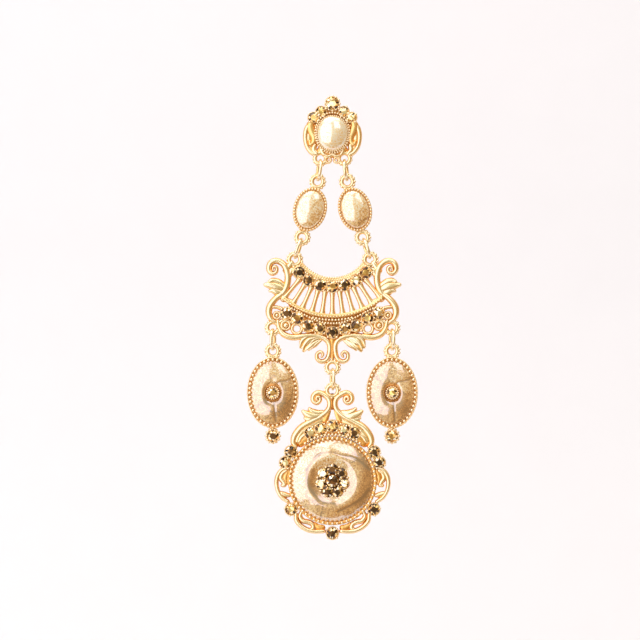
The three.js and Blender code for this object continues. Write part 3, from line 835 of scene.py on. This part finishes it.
# The dome's profile: a share of its half width and half height, and a height. The links' is alike.
STUD_DOME = [(1.0, 0.55), (0.97, 0.9), (0.88, 1.35), (0.7, 1.85), (0.4, 2.28), (0.15, 2.43), (0.02, 2.45)]

casting = Casting(stud)
casting.add(turned(0, DOME_Y, STUD_FLOOR, 3.5, 3.95))
add_beaded_rim(casting, 0, -0.15, half_width=4.15, half_height=4.85, count=44, radius=0.3, z=0.72)
add_beaded_rim(casting, 0, DOME_Y, half_width=3.78, half_height=4.22, count=50, radius=0.22, z=0.9)
casting.both(STUD_OUTER_SCROLL)
casting.both(STUD_LEAF, profile=SHADED_ROUND, height=1.45)
casting.both(STUD_LOWER_LEAF, STUD_LOWER_CURL)
casting.both(STUD_FOOT_LEAF, height=1.45)
casting.add(wire(STUD_CROWN_FILL, profile=DEEP_SHADE_BAR, height=1.0))
casting.add(wire(whole(STUD_UPPER_FILL), profile=DEEP_SHADE_BAR, height=1.1))
casting.both(STUD_BEZEL_FILL, profile=HALF_SHADE_BAR, height=1.0)
casting.both(STUD_SCROLL_FILL, profile=PALE_BAR, height=0.95)
casting.add(wire(whole(STUD_FOOT_FILL), profile=HALF_SHADE_BAR, height=1.02))
for sign in (-1, 1):
    add_curl(casting, sign * 1.0, -6.2, 0.62, 0.62)
    add_loop(casting, sign * 2.7, -5.9, scallop=0.3)
for x, y in STUD_STONES:
    add_setting(casting, x, y, turn=np.degrees(np.arctan2(y, x)), radius=STUD_STONE_RADIUS)
add_setting(casting, *STUD_CROWN, radius=CROWN_RADIUS, turn=0.0, claws=12)
casting.piece("stud_casting", "stud", GOLD, ["stud_frame"])

casting = Casting(stud)
# The stud's glitter is paled all over, painted light.
casting.add(rippled(oval_dome(3.46, 4.05, STUD_DOME, y=DOME_Y), painted_shading=-1.3))
casting.piece("stud_resin", "stud", RESIN, ["stud_dome"])


def post_piece():
    """The post and its pad, turned about the line along which they go through the lobe.

    The profile is a radius and a distance behind the front of the lobe. It has a groove for a clutch."""
    _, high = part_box("ear_post")
    pad, end = high.x / MM, high.y / MM
    profile = np.array(
        [
            (0.02, -0.4),
            (pad * 0.9, -0.4),
            (pad, -0.3),
            (pad, -0.08),
            (pad * 0.93, 0.0),
            (0.62, 0.02),
            (0.45, 0.1),
            (0.4, 0.3),
            (0.4, 8.85),
            (0.34, 8.95),
            (0.28, 9.1),
            (0.28, 9.4),
            (0.34, 9.55),
            (0.4, 9.65),
            (0.4, end - 0.4),
            (0.3, end - 0.12),
            (0.02, end),
        ]
    )
    rows = np.column_stack([profile[:, 0], -profile[:, 1] - HANG_DEPTH, np.zeros(len(profile))])[::-1]
    casting = Casting(stud)
    casting.add(turned(0, 0, rows, segments=40))
    casting.piece("post_and_pad", "stud", POST, ["ear_post"])


post_piece()


# ---- jump rings ----

RING_RADIUS = 2.225
RING_WIRE = 0.375  # the radius of the wire
RING_ENDS = (-62, 294)  # the angles of the wire's two ends


def jump_ring(node, body, tilt, turn_out):
    """A round wire bent round a circle that is seen almost edge-on, its two ends nearly meeting.

    The ring is turned out about its own upright line by turn_out degrees."""
    x, y = middle(node)
    out = np.radians(turn_out)
    steps, corners = 60, 12
    turn = np.radians(np.linspace(*RING_ENDS, steps))
    around = full_turn(corners)
    reach = RING_RADIUS + RING_WIRE * np.cos(around)
    side = np.broadcast_to(RING_WIRE * np.sin(around), (steps, corners))
    deep = np.outer(np.cos(turn), reach)
    across, deep = side * np.cos(out) + deep * np.sin(out), deep * np.cos(out) - side * np.sin(out)
    points = np.stack([across, np.outer(np.sin(turn), reach), deep], -1).reshape(-1, 3)
    # Painted shade, darker on the inner side of the wire.
    shade = np.tile(0.35 * (1 - np.cos(around)) / 2, steps)
    ring = Casting(Section(x, y, tilt))
    ring.add((points, closed_faces(steps, corners), shade))
    ring.piece(node.replace("ring", "jump_ring"), body, GOLD, [node])


for side, sign in (("left", -1), ("right", 1)):
    jump_ring(f"ring_stud_{side}", "chandelier", sign * UPPER_RING_TILT, -sign * 8)
    jump_ring(f"ring_link_{side}", "chandelier", sign * LOWER_RING_TILT, sign * 6)
    jump_ring(f"ring_drop_{side}", f"drop_{side}", 0, sign * 9)
jump_ring("ring_pendant", "pendant", 0, 7)


# ---- links ----

LINK_DOME = [(1.0, 0.45), (0.96, 0.75), (0.85, 1.15), (0.62, 1.55), (0.34, 1.8), (0.12, 1.88), (0.02, 1.89)]
# The floor behind a link's resin, dark with painted shade.
LINK_FLOOR = [(0.02, -0.75, 0.6), (0.97, -0.75, 0.8), (1, -0.6, 0.7), (1, 0.1, 0.8), (0.02, 0.1, 1)]
LINK_LOOP = 6.51  # from the middle of the link to the middle of its loop

for side, sign in (("left", -1), ("right", 1)):
    place = Section(*middle(f"link_dome_{side}"), sign * LINK_TILT)
    casting = Casting(place)
    casting.add(turned(0, 0, LINK_FLOOR, 3.5, 4.75))
    add_beaded_rim(casting, 0, 0, half_width=3.75, half_height=5.0, count=38, radius=0.3, z=0.8)
    for y in (LINK_LOOP, -LINK_LOOP):
        add_loop(casting, 0, y)
        casting.add(beads([(-0.75, y * 0.79), (0.75, y * 0.79)], radius=0.36, z=0.1))
    casting.piece(f"link_casting_{side}", "chandelier", GOLD, [f"link_frame_{side}"])
    casting = Casting(place)
    # The links' glitter is paled a little, painted light.
    casting.add(rippled(oval_dome(3.22, 4.47, LINK_DOME), painted_shading=-0.5))
    casting.piece(f"link_resin_{side}", "chandelier", RESIN, [f"link_dome_{side}"])


# ---- crescent: its origin is the centre of the fan's arcs ----

FAN_ROW_RADIUS = 10.4  # the arc on which the upper stones stand
fan = Section(0, middle("crescent_upper_stone_4")[1] + FAN_ROW_RADIUS)
UPPER_ROW = [fan.local(f"crescent_upper_stone_{k}") for k in range(1, 8)]
LOWER_ROW = [fan.local(f"crescent_lower_stone_{k}") for k in range(1, 10)]

FAN_SCROLL = [
    (13.5, -6.75, 0.5, 1.1),
    (13.35, -6.1, 0.75, 1.12),
    (12.85, -5.95, 0.85, 1.1),
    (12.5, -6.4, 0.9, 1.06),
    (12.75, -7.2, 1.0, 1.02),
    (13.6, -7.45, 1.15, 1.0),
    (14.3, -6.6, 1.25, 1.0),
    (14.05, -5.3, 1.35, 1.0),
    (13.0, -4.65, 1.4, 1.0),
    (11.7, -4.9, 1.45, 1.0),
    (10.6, -6.0, 1.5, 1.0),
    (10.05, -7.9, 1.55, 1.0),
    (10.2, -9.9, 1.55, 1.0),
    (10.95, -11.6, 1.45, 1.0),
    (12.1, -12.7, 1.0, 0.9),
]
FAN_LOWER_C = [
    (10.7, -10.6, 0.9, 0.9),
    (11.5, -12.1, 1.3, 0.98),
    (12.9, -13.25, 1.5, 1.05),
    (14.05, -14.8, 1.6, 1.05),
    (14.3, -16.4, 1.5, 1.05),
    (13.8, -17.7, 1.2, 1.0),
    (12.9, -18.35, 0.9, 0.95),
]
FAN_SIDE_LEAF = [
    [(10.9, -10.2, 1.3, 0.85), (12.2, -9.4, 1.6, 0.95), (13.4, -9.1, 1.4, 1.0), (14.2, -9.35, 0.9, 1.05)],
    [(10.9, -11.1, 1.5, 0.9), (12.3, -10.5, 2.2, 1.05), (13.9, -10.15, 1.9, 1.05), (15.15, -10, 0.9, 1)],
    [(11.3, -12, 1.4, 0.85), (12.5, -11.55, 1.9, 0.95), (13.4, -11.3, 1.4, 0.95), (14.1, -11.4, 0.7, 0.9)],
]
FAN_SWOOP = [
    (12.3, -18.2, 0.9, 0.95),
    (11.95, -19.8, 1.25, 1.0),
    (10.9, -21.2, 1.4, 1.05),
    (8.9, -21.85, 1.45, 1.05),
    (6.5, -21.6, 1.4, 1.05),
    (4.3, -21.45, 1.35, 1.0),
    (2.0, -22.0, 1.3, 1.0),
    (0.78, -23.2, 1.25, 1.0),
    (0.64, -25.0, 1.2, 1.0),
    (1.2, -26.7, 1.15, 1.0),
    (2.4, -27.3, 1.1, 1.0),
    (3.4, -26.7, 1.0, 1.02),
    (3.45, -25.6, 0.9, 1.05),
    (2.7, -25.1, 0.8, 1.08),
    (2.15, -25.6, 0.75, 1.1),
    (2.4, -26.2, 0.6, 1.12),
]
FAN_LOWER_LEAF = [
    [(3.9, -21.9, 1.6, 0.9), (5.4, -22.3, 2.4, 1.05), (6.5, -23.0, 2.1, 1.05), (7.1, -24.0, 0.9, 1.0)],
    [(3.5, -22.3, 1.6, 0.9), (4.9, -23.0, 2.6, 1.1), (6.0, -24.0, 2.0, 1.1), (6.45, -24.8, 0.9, 1.0)],
    [(3.0, -22.4, 1.4, 0.9), (4.0, -23.0, 2.0, 1.0), (4.8, -23.8, 1.6, 1.0), (5.3, -24.6, 0.7, 0.9)],
]
# Rolled ends: x, y, radius, width and boss.
FAN_CURLS = [(12.5, -16.9, 0.72, 0.66, 0.42), (10.5, -19.15, 0.95, 0.8, 0.6), (8.0, -19.9, 1.1, 0.8, 0.0)]
FAN_STALKS = [
    [(9.3, -5.2, 1.5), (10.4, -6.8, 1.7)],
    [(13.4, -15.0, 0.8), (12.3, -15.1, 0.9), (11.3, -15.5, 1.0)],
    [(9.2, -6.8, 1.6), (10.1, -8.6, 1.2)],
    [(9.2, -13.9, 1.2), (10.6, -13.2, 1.2), (11.3, -12.2, 1.1)],
    [(12.0, -18.5, 1.0), (11.0, -18.0, 1.1), (9.6, -18.4, 1.2), (8.2, -18.6, 1.0)],
]
# Where the beads run above the lower stones, from the left to the middle.
LOWER_EDGE = [(-11.6, -15.2), (-9.6, -15.2), (-7.4, -16.2), (-4.6, -17.65), (-2.2, -18.5), (0, -18.75)]
RAYS = np.radians(8.0 * np.arange(-5, 6))
RAY = [(11.2, 1.6), (12.2, 1.2), (13.2, 1.02), (15.4, 1.08), (16.3, 1.4), (17.0, 1.9)]  # radius and width
FAN_STEM = [(0, -21.4, 2.2), (0, -22.6, 1.2), (0, -26.9, 0.7)]

casting = Casting(fan)
casting.add(band(8.35, 11.4, 54))
casting.add(beads(arc_places(8.5, -54, 54, 30), radius=0.28, z=0.5))
casting.add(beads(arc_places(8.95, -53, 53, 31), radius=0.2, z=0.66))
for sine, cosine in zip(np.sin(RAYS), np.cos(RAYS)):
    casting.add(wire([(radius * sine, -radius * cosine, width) for radius, width in RAY], height=1.2))
casting.add(band(16.55, 17.5, 41))
casting.add(beads(arc_places(17.15, -40, 40, 36), radius=0.24, z=0.6))
casting.add(beads(arc_places(17.95, -14, 14, 13), radius=0.34, z=0.5))
edge, _ = smooth_curve(LOWER_EDGE, 8)
edge = np.vstack([edge, (edge * (-1, 1))[-2::-1]])
casting.add(beads(along_path(edge, 40), radius=0.3, z=0.62))
arc = arc_places(17.3, -31, 31, 40)
under = np.column_stack([arc[:, 0], np.interp(arc[:, 0], *np.transpose(LOWER_ROW))])
casting.add(spread_between(arc, under, height=0.8))
casting.add(wire([(x, y, 2.5) for x, y in LOWER_ROW], profile=DEEP_SHADE_BAR, height=1.15))
casting.add(wire([(x, y, 2.2) for x, y in UPPER_ROW], profile=DEEP_SHADE_BAR, height=1.31))
casting.both(FAN_SCROLL, FAN_LOWER_C, FAN_SWOOP, *FAN_SIDE_LEAF, height=1.4)
casting.both(*FAN_LOWER_LEAF, profile=VEINED, height=1.35)
casting.both(*FAN_STALKS, height=1.15)
casting.add(wire(FAN_STEM, profile=HALF_SHADE_BAR, height=1.0))
for sign in (-1, 1):
    for x, y, radius, width, boss in FAN_CURLS:
        add_curl(casting, sign * x, y, radius, width, boss)
    add_loop(casting, sign * 8.49, -4.33)
    add_loop(casting, sign * 13.4, -19.7)
add_loop(casting, 0, -28.6)
for x, y in UPPER_ROW:
    add_setting(casting, x, y, turn=45 + np.degrees(np.arctan2(x, -y)))
for x, y in LOWER_ROW:
    add_setting(casting, x, y, turn=45)
casting.piece("crescent_casting", "chandelier", GOLD, ["crescent_frame"])


# ---- oval drops ----

DROP_HALF_WIDTH = 5.85
DROP_HALF_HEIGHT = 8.05
DROP_RIM = 0.9  # the width of the rim that the resin leaves free
DROP_CUP_HEIGHT = 1.15
DROP_CUP_SHARE = 0.93
# The floor behind a drop's resin, dark with painted shade.
DROP_FLOOR = [(0.02, -0.75, 0.6), (0.98, -0.75, 0.8), (1, -0.62, 0.7), (1, 0.1, 0.8), (0.02, 0.1, 1)]
# Dark streaks in the drops' resin, painted shade: wide ones on slopes, narrow ones as dark lines, most
# along a groove. Each has a path, how wide it fades, how dark it is and how deep its groove.
DROP_STREAKS = [
    ([(0.6, 1.7), (1.6, 2.5), (2.8, 2.7), (4.4, 3.3)], 0.26, 2.0, 0.1),
    ([(-1.6, 1.3), (-1.95, -0.2), (-1.3, -2.1)], 0.5, 2.0, 0.0),
    ([(1.4, -1.3), (2.6, -2.6), (3.2, -4.4)], 1.9, 1.2, 0.0),
    ([(0.3, -2.4), (0.5, -4.5), (0.6, -6.4)], 0.26, 2.0, 0.12),
]
DROP_OPENING = 1.3  # the radius of the hole in the resin for the cup
# How high the resin stands, by its share of the way from the opening to the edge.
DROP_SURFACE = [
    (0.0, 0.95),
    (0.06, 1.15),
    (0.14, 1.5),
    (0.24, 1.76),
    (0.4, 1.76),
    (0.6, 1.55),
    (0.8, 1.2),
    (1.0, 0.7),
]

for side in ("left", "right"):
    place = Section(*middle(f"drop_dome_{side}"))
    tip = place.local(f"drop_tip_stone_{side}")
    casting = Casting(place)
    casting.add(turned(0, 0, DROP_FLOOR, 5.6, 7.8))
    size = (DROP_HALF_WIDTH, DROP_HALF_HEIGHT)
    add_beaded_rim(casting, 0, 0, *size, count=40, radius=0.39, z=0.84, plain=0.22, segments=96)
    add_loop(casting, 0, 9.35)
    casting.add(beads([(-0.8, 8.1), (0.8, 8.1)], radius=0.4, z=0.2))
    casting.add(wire([(0, -7.9, 1.3), (0, tip[1] + 1, 1.2)], height=1.2))
    add_setting(casting, *tip, claws=10, turn=0, radius=TIP_RADIUS)
    casting.add(beads(ring_places(*tip, 1.62, 12), radius=0.27, z=0.25))
    add_cup(casting, 0, 0, DROP_CUP_SHARE, DROP_CUP_HEIGHT)
    casting.add(beads(ring_places(0, 0, 1.36, 18), radius=0.2, z=0.72 + DROP_CUP_HEIGHT))
    casting.piece(f"drop_casting_{side}", f"drop_{side}", GOLD, [f"drop_frame_{side}"])
    casting = Casting(place)
    size = (DROP_HALF_WIDTH - DROP_RIM, DROP_HALF_HEIGHT - DROP_RIM)
    resin = rippled(dome_between(DROP_OPENING, *size, DROP_SURFACE), depth=0.03)
    for streak in DROP_STREAKS:
        resin = streaked(resin, *streak)
    casting.add(resin)
    casting.piece(f"drop_resin_{side}", f"drop_{side}", RESIN, [f"drop_dome_{side}"])


# ---- pendant: its origin is the centre of its round rim ----

pendant = Section(*middle("pendant_dome"))
PENDANT_STONES = [pendant.local(f"pendant_stone_{k}") for k in range(1, 13)]
PENDANT_SCROLL = [
    (3.15, 18.0, 0.5, 1.1),
    (3.6, 18.3, 0.75, 1.12),
    (3.45, 18.85, 0.85, 1.1),
    (2.9, 18.8, 0.9, 1.06),
    (2.75, 18.1, 0.95, 1.02),
    (3.5, 17.45, 1.05, 1.0),
    (4.35, 18.1, 1.15, 1.0),
    (4.2, 19.25, 1.2, 1.0),
    (3.15, 19.8, 1.25, 1.0),
    (1.95, 19.4, 1.3, 1.0),
    (0.85, 18.4, 1.3, 1.0),
    (0.6, 17.1, 1.25, 1.0),
    (1.1, 15.8, 1.3, 1.0),
    (2.7, 14.4, 1.5, 1.0),
    (4.8, 13.3, 1.55, 1.0),
    (7.0, 12.0, 1.6, 1.0),
    (8.45, 10.15, 1.55, 1.0),
    (8.8, 8.6, 1.3, 1.0),
    (8.2, 7.7, 0.9, 1.0),
]
PENDANT_ARCH_FILL = [
    (1.5, 14.2, 1.6),
    (4.2, 12.75, 2.0),
    (6.2, 11.6, 2.2),
    (7.5, 10.1, 1.9),
    (7.9, 8.8, 1.3),
]
PENDANT_STEM = [(0, 19.0, 1.4), (0, 17.2, 1.0), (0, 16.4, 1.0)]
PENDANT_STEM_FILL = [(0.75, 15.7, 0.9), (1.2, 14.5, 1.1), (1.7, 13.4, 1.3)]
PENDANT_ARCH_STALK = [(6.1, 10.5, 1.2), (7.0, 9.7, 1.2), (7.5, 8.8, 0.9)]
PENDANT_ARCH_FLOOR = [(0.0, 11.6, 2.4), (3.2, 11.0, 2.6), (5.6, 9.9, 2.6), (7.2, 8.5, 2.0)]
PENDANT_LEAF = [
    [(2.2, 15.4, 1.1, 0.85), (3.4, 15.2, 1.6, 0.95), (4.5, 15.6, 1.4, 1.0), (5.2, 16.2, 0.8, 1.0)],
    [(2.6, 14.8, 1.4, 0.9), (4.2, 14.5, 2.1, 1.05), (5.6, 14.9, 1.9, 1.05), (6.6, 15.6, 0.9, 1.0)],
    [(3.4, 14.1, 1.3, 0.85), (4.7, 13.8, 1.7, 0.95), (5.6, 13.8, 1.3, 0.95), (6.2, 14.1, 0.7, 0.9)],
]
PENDANT_SIDE_C = [
    (10.2, 3.0, 0.9),
    (11.5, 2.3, 1.05),
    (12.35, 1.0, 1.1),
    (12.6, -0.6, 1.05),
    (12.25, -2.3, 1.0),
    (11.3, -3.8, 1.0),
    (10.0, -4.7, 0.95),
]
PENDANT_SIDE_CURL = [
    (10.4, 2.3, 0.9),
    (11.3, 1.6, 1.25),
    (11.6, 0.6, 1.3),
    (11.0, -0.3, 1.2),
    (10.75, -0.95, 1.05),
    (11.3, -1.1, 0.8),
]
PENDANT_SIDE_FILL = [(10.0, 2.2, 1.4), (10.6, 0.8, 1.4), (10.3, -0.6, 0.9)]
PENDANT_SIDE_FOOT = [(9.8, -3.3, 1.0), (10.6, -3.2, 1.4), (11.5, -2.9, 1.2)]
PENDANT_FOOT_C = [
    (8.2, -7.5, 0.9),
    (8.1, -8.9, 1.1),
    (7.1, -10.15, 1.15),
    (5.6, -11.05, 1.15),
    (3.9, -11.4, 1.1),
    (2.0, -11.3, 1.1),
]
PENDANT_FOOT_CURL = [
    (7.0, -7.0, 0.9),
    (7.3, -8.0, 1.1),
    (6.6, -9.0, 1.25),
    (5.4, -9.3, 1.25),
    (4.5, -9.8, 1.2),
    (4.3, -10.6, 1.1),
    (4.8, -10.9, 0.8),
]
PENDANT_FOOT_FILL = [(4.0, -9.8, 1.0), (3.2, -10.4, 1.3), (2.2, -10.6, 1.3)]
# Dark streaks in the pendant's resin, which wind around its middle, painted shade: wide ones on slopes,
# narrow ones as dark lines, most along a groove.
PENDANT_CREST = [(8.2, 2.7), (6.4, 4.3), (4.4, 5.3), (2.2, 5.8), (-0.3, 6.5), (-3.3, 5.8), (-5.8, 2.6)]
PENDANT_STREAKS = [
    (PENDANT_CREST, 0.3, 2.2, 0.12),
    ([(-5.8, 2.6), (-5.6, -0.6), (-4.2, -2.9), (-2.3, -4.6), (0.4, -5.0)], 0.35, 2.0, 0.0),
    ([(8.2, -1.9), (6.4, -4.0), (3.4, -5.8), (1.2, -6.8)], 0.32, 2.0, 0.1),
    ([(-4.3, 2.2), (-4.9, 0.0), (-4.0, -2.4)], 0.9, 1.8, 0.0),
    ([(5.4, 6.0), (7.4, 3.9), (8.4, 0.5), (6.6, -4.8)], 1.3, 1.0, 0.0),
]
# How high the resin stands, by its share of the way from the opening to the edge.
PENDANT_SURFACE = [
    (0.0, 1.25),
    (0.06, 1.4),
    (0.14, 1.62),
    (0.22, 1.88),
    (0.3, 2.08),
    (0.38, 2.18),
    (0.48, 2.12),
    (0.62, 1.86),
    (0.78, 1.42),
    (0.9, 1.02),
    (1.0, 0.6),
]
PENDANT_OPENING = 3.2  # the radius of the hole in the resin for the flower
PENDANT_RESIN = 9.2
# The floor behind the pendant's resin, dark with painted shade.
PENDANT_FLOOR = [(0.02, -0.75, 0.6), (9.6, -0.75, 0.8), (9.8, -0.6, 0.7), (9.8, 0.1, 0.8), (0.02, 0.1, 1)]

# The flower of crystals: seven petals round one, each with claws on its inner and outer side.
FLOWER = -13 + 360 / 7 * np.arange(7)
# The flower's base, dark with painted shade.
FLOWER_BASE = [(0.1, 0, 0.9), (3.3, 0, 0.9), (3.3, 0.9, 1.0), (3.2, 1.1, 1.0), (0.1, 1.2, 1.0)]
FLOWER_GIRDLE = 1.6
FLOWER_CLAW_HEIGHT = 1.5
PETAL_RADIUS = 1.18
PETAL_REACH = 2.72
HEART_RADIUS = 1.34

casting = Casting(pendant)
casting.add(turned(0, 0, PENDANT_FLOOR, segments=96))
add_beaded_rim(casting, 0, 0, 10.0, 10.0, count=56, radius=0.38, z=0.9, plain=0.05, segments=120)
casting.both(PENDANT_SCROLL, PENDANT_SIDE_C, height=1.4)
casting.both(PENDANT_SIDE_CURL)
casting.both(PENDANT_FOOT_C, height=1.4)
casting.both(PENDANT_FOOT_CURL)
casting.both(PENDANT_ARCH_FILL, profile=PALE_BAR, height=1.12)
casting.both(PENDANT_SIDE_FILL, PENDANT_FOOT_FILL, profile=HALF_SHADE_BAR, height=1.0)
casting.both(PENDANT_STEM_FILL, profile=HALF_SHADE_BAR, height=1.15)
casting.both(PENDANT_SIDE_FOOT, height=1.2)
casting.both(*PENDANT_LEAF, height=1.4)
casting.add(wire(PENDANT_STEM, profile=DEEP_SHADE_BAR, height=1.0))
casting.add(wire(whole(PENDANT_ARCH_FLOOR), profile=HALF_SHADE_BAR, height=1.05))
casting.add(beads(arc_places(10.4, 144, 216, 17), radius=0.42, z=0.55))
casting.both(PENDANT_ARCH_STALK)
add_loop(casting, 0, 20.27)
for x, y in PENDANT_STONES:
    add_setting(casting, x, y, turn=45 + np.degrees(np.arctan2(y, x)))
casting.add(turned(0, 0, FLOWER_BASE, segments=42))
for reach, claw in ((3.45, 0.3), (1.72, 0.24)):
    casting.add(beads(reach * directions(FLOWER + 180 / 7), claw, FLOWER_CLAW_HEIGHT, turns=10, rows=6))
casting.add(beads(3.75 * directions(FLOWER), radius=0.26, z=FLOWER_CLAW_HEIGHT))
casting.piece("pendant_casting", "pendant", GOLD, ["pendant_frame"])

casting = Casting(pendant)
for k, (x, y) in enumerate(PETAL_REACH * directions(FLOWER)):
    casting.add(chaton(x, y, FLOWER_GIRDLE, PETAL_RADIUS, 19 * k, FLOWER_SHADES[k]))
casting.add(chaton(0, 0, FLOWER_GIRDLE + 0.1, HEART_RADIUS, 8, HEART_SHADE))
casting.piece("pendant_flower_crystals", "pendant", CRYSTAL, ["pendant_cluster"], smooth=False)

casting = Casting(pendant)
poured = dome_between(PENDANT_OPENING, PENDANT_RESIN, PENDANT_RESIN, PENDANT_SURFACE, segments=144)
resin = rippled(poured, depth=0.025)
for streak in PENDANT_STREAKS:
    resin = streaked(resin, *streak)
casting.add(resin)
casting.piece("pendant_resin", "pendant", RESIN, ["pendant_dome"])


# ---- crystals in their settings ----


def crystal(node, body, radius, shade, turn):
    """A crystal of some radius where a stone's node is, its girdle as high as the node's."""
    place = Section(*middle(node))
    low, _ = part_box(node)
    girdle = -low.y / MM - HANG_DEPTH - CROWN_RISE * CUP_STONE
    casting = Casting(place)
    casting.add(chaton(0, 0, girdle, radius, turn, shade))
    casting.piece(node.replace("stone", "crystal"), body, CRYSTAL, [node], smooth=False)


def row_of_crystals(kind, body):
    """A crystal for each numbered node of a kind, each turned a little further than the last."""
    radius, shades = CRYSTALS[kind]
    for k, shade in enumerate(shades):
        crystal(f"{kind}_{k + 1}", body, radius, shade, 17 * k)


row_of_crystals("stud_stone", "stud")
crystal("stud_crown_stone", "stud", CROWN_RADIUS, CROWN_SHADE, 0)
row_of_crystals("crescent_upper_stone", "chandelier")
row_of_crystals("crescent_lower_stone", "chandelier")
row_of_crystals("pendant_stone", "pendant")
for kind in ("drop_centre_stone", "drop_tip_stone"):
    radius, shades = CRYSTALS[kind]
    for side, shade in zip(("left", "right"), shades):
        crystal(f"{kind}_{side}", f"drop_{side}", radius, shade, 11)


# ---- stage, lights and camera: in metres ----

FLOOR_GAP = 0.22  # from the tip of the earring down to the floor
FLOOR_FRONT = -0.12
BEND_START = 0.2
BEND_RADIUS = 0.3
WALL_HEIGHT = 1.3
SWEEP_HALF_WIDTH = 2.2


def pale_floor():
    """A pale sweep: flat below the earring, then a quarter circle up into a wall behind it."""
    low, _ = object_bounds()
    level = low.z - FLOOR_GAP
    turn = np.linspace(0, np.pi / 2, 24)
    wall = BEND_START + BEND_RADIUS
    y = np.concatenate([[FLOOR_FRONT], BEND_START + BEND_RADIUS * np.sin(turn), [wall]])
    bend = level + BEND_RADIUS * (1 - np.cos(turn))
    z = np.concatenate([[level], bend, [level + BEND_RADIUS + WALL_HEIGHT]])
    x = np.array([-SWEEP_HALF_WIDTH, SWEEP_HALF_WIDTH])
    points = np.stack([np.tile(x, len(y)), np.repeat(y, 2), np.repeat(z, 2)], 1)
    faces = grid(len(y), 2, round_columns=False).tolist()
    paper = Finish("pale_paper", {"Roughness": 0.9, "Specular IOR Level": 0.1})
    soft = paper.noise(paper.place(), 40.0)
    paper.feed("Base Color", paper.mix(soft, (0.86, 0.85, 0.84, 1.0), (0.88, 0.87, 0.86, 1.0)))
    sweep = put_in_scene("pale_sweep", new_mesh("pale_sweep", points, faces, paper.material))
    sweep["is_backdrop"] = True


# The room as it lights the scene, and as it shows in gold and resin: bright, but brown on its dark side.
ROOM_STRENGTH = 0.69
ROOM_LIGHT = (0.84, 0.82, 0.76, 1.0)
DARK_SIDE = (0.4, 0.0, -0.32)  # towards it; the length sets how fast the room darkens that way
ROOM_SHADES = [(0.0, (1.0, 0.91, 0.56, 1.0)), (0.3, (0.74, 0.43, 0.17, 1.0))]

SOFT_WHITE = (0.92, 0.83, 0.98)
PAPER_WHITE = (0.97, 1.0, 0.91)
# Lamps: name, place, width, height, brightness. The first three face the earring.
SOFTBOXES = [
    ("left_softbox", (-0.64, -0.7, 0.05), 1.4, 1.55, 1.14),
    ("right_softbox", (0.36, -0.64, 0.6), 0.5, 0.5, 1.2),
    ("top_softbox", (-0.3, -0.25, 0.85), 1.0, 0.6, 1.4),
]
BACKDROP_LAMP = ("backdrop_lamp", (0.0, -0.1, 1.2), 1.6, 0.5, 2.2)
BACKDROP_SPOT = (0, 0.5, -0.1)  # where the backdrop lamp points, from the middle of the earring


def softbox(name, place, width, height, brightness, aim, colour):
    """A rectangular lamp that faces a point. Its power is its brightness times pi times its area."""
    lamp = bpy.data.lights.new(name, "AREA")
    lamp.shape = "RECTANGLE"
    lamp.size, lamp.size_y = width, height
    lamp.energy = brightness * np.pi * width * height
    lamp.color = colour
    made = put_in_scene(name, lamp)
    made.location = place
    made.rotation_euler = (made.location - aim).to_track_quat("Z", "Y").to_euler()
    made.visible_camera = False


def room():
    """A world that is one colour, except to glossy rays, which see a ramp across it."""
    world = bpy.data.worlds.new("studio")
    world.use_nodes = True
    nodes, links = world.node_tree.nodes, world.node_tree.links
    path = nodes.new("ShaderNodeLightPath")
    seen = nodes.new("ShaderNodeMix")
    seen.data_type = "RGBA"
    seen.inputs[6].default_value = ROOM_LIGHT
    look = nodes.new("ShaderNodeTexCoord")
    towards = nodes.new("ShaderNodeVectorMath")
    towards.operation = "DOT_PRODUCT"
    towards.inputs[1].default_value = DARK_SIDE
    shade = nodes.new("ShaderNodeValToRGB")
    for element, (position, colour) in zip(shade.color_ramp.elements, ROOM_SHADES):
        element.position = position
        element.color = colour
    links.new(look.outputs["Generated"], towards.inputs[0])
    links.new(towards.outputs["Value"], shade.inputs["Fac"])
    links.new(path.outputs["Is Glossy Ray"], seen.inputs[0])
    links.new(shade.outputs["Color"], seen.inputs[7])
    links.new(seen.outputs[2], nodes["Background"].inputs["Color"])
    nodes["Background"].inputs["Strength"].default_value = ROOM_STRENGTH
    bpy.context.scene.world = world


def lamps():
    """Three soft lamps on the earring, and one on the wall behind it."""
    low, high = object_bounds()
    aim = (low + high) / 2
    for lamp in SOFTBOXES:
        softbox(*lamp, aim, SOFT_WHITE)
    softbox(*BACKDROP_LAMP, aim + type(aim)(BACKDROP_SPOT), PAPER_WHITE)


SENSOR = 36.0  # millimetres
CAMERA_DISTANCE = 0.62
CAMERA_SIDE = -0.0028
CAMERA_DROP = 0.0005
FRONT_DEPTH = 0.0015  # how far in front of the lobe's front the framed plane lies
FRAME_WIDTH = 0.144


def camera():
    """A long lens, level with the middle, that frames FRAME_WIDTH at the castings' front."""
    low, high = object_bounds()
    lens = bpy.data.cameras.new("camera")
    lens.sensor_width = SENSOR
    lens.lens = SENSOR * (CAMERA_DISTANCE - FRONT_DEPTH) / FRAME_WIDTH
    lens.clip_start = 0.01
    made = put_in_scene("camera", lens)
    made.location = (CAMERA_SIDE, -CAMERA_DISTANCE, (low.z + high.z) / 2 - CAMERA_DROP)
    made.rotation_euler = (np.pi / 2, 0, 0)
    bpy.context.scene.camera = made


pale_floor()
room()
lamps()
camera()
bpy.context.scene.view_settings.view_transform = "Standard"
bpy.context.scene.view_settings.look = "None"
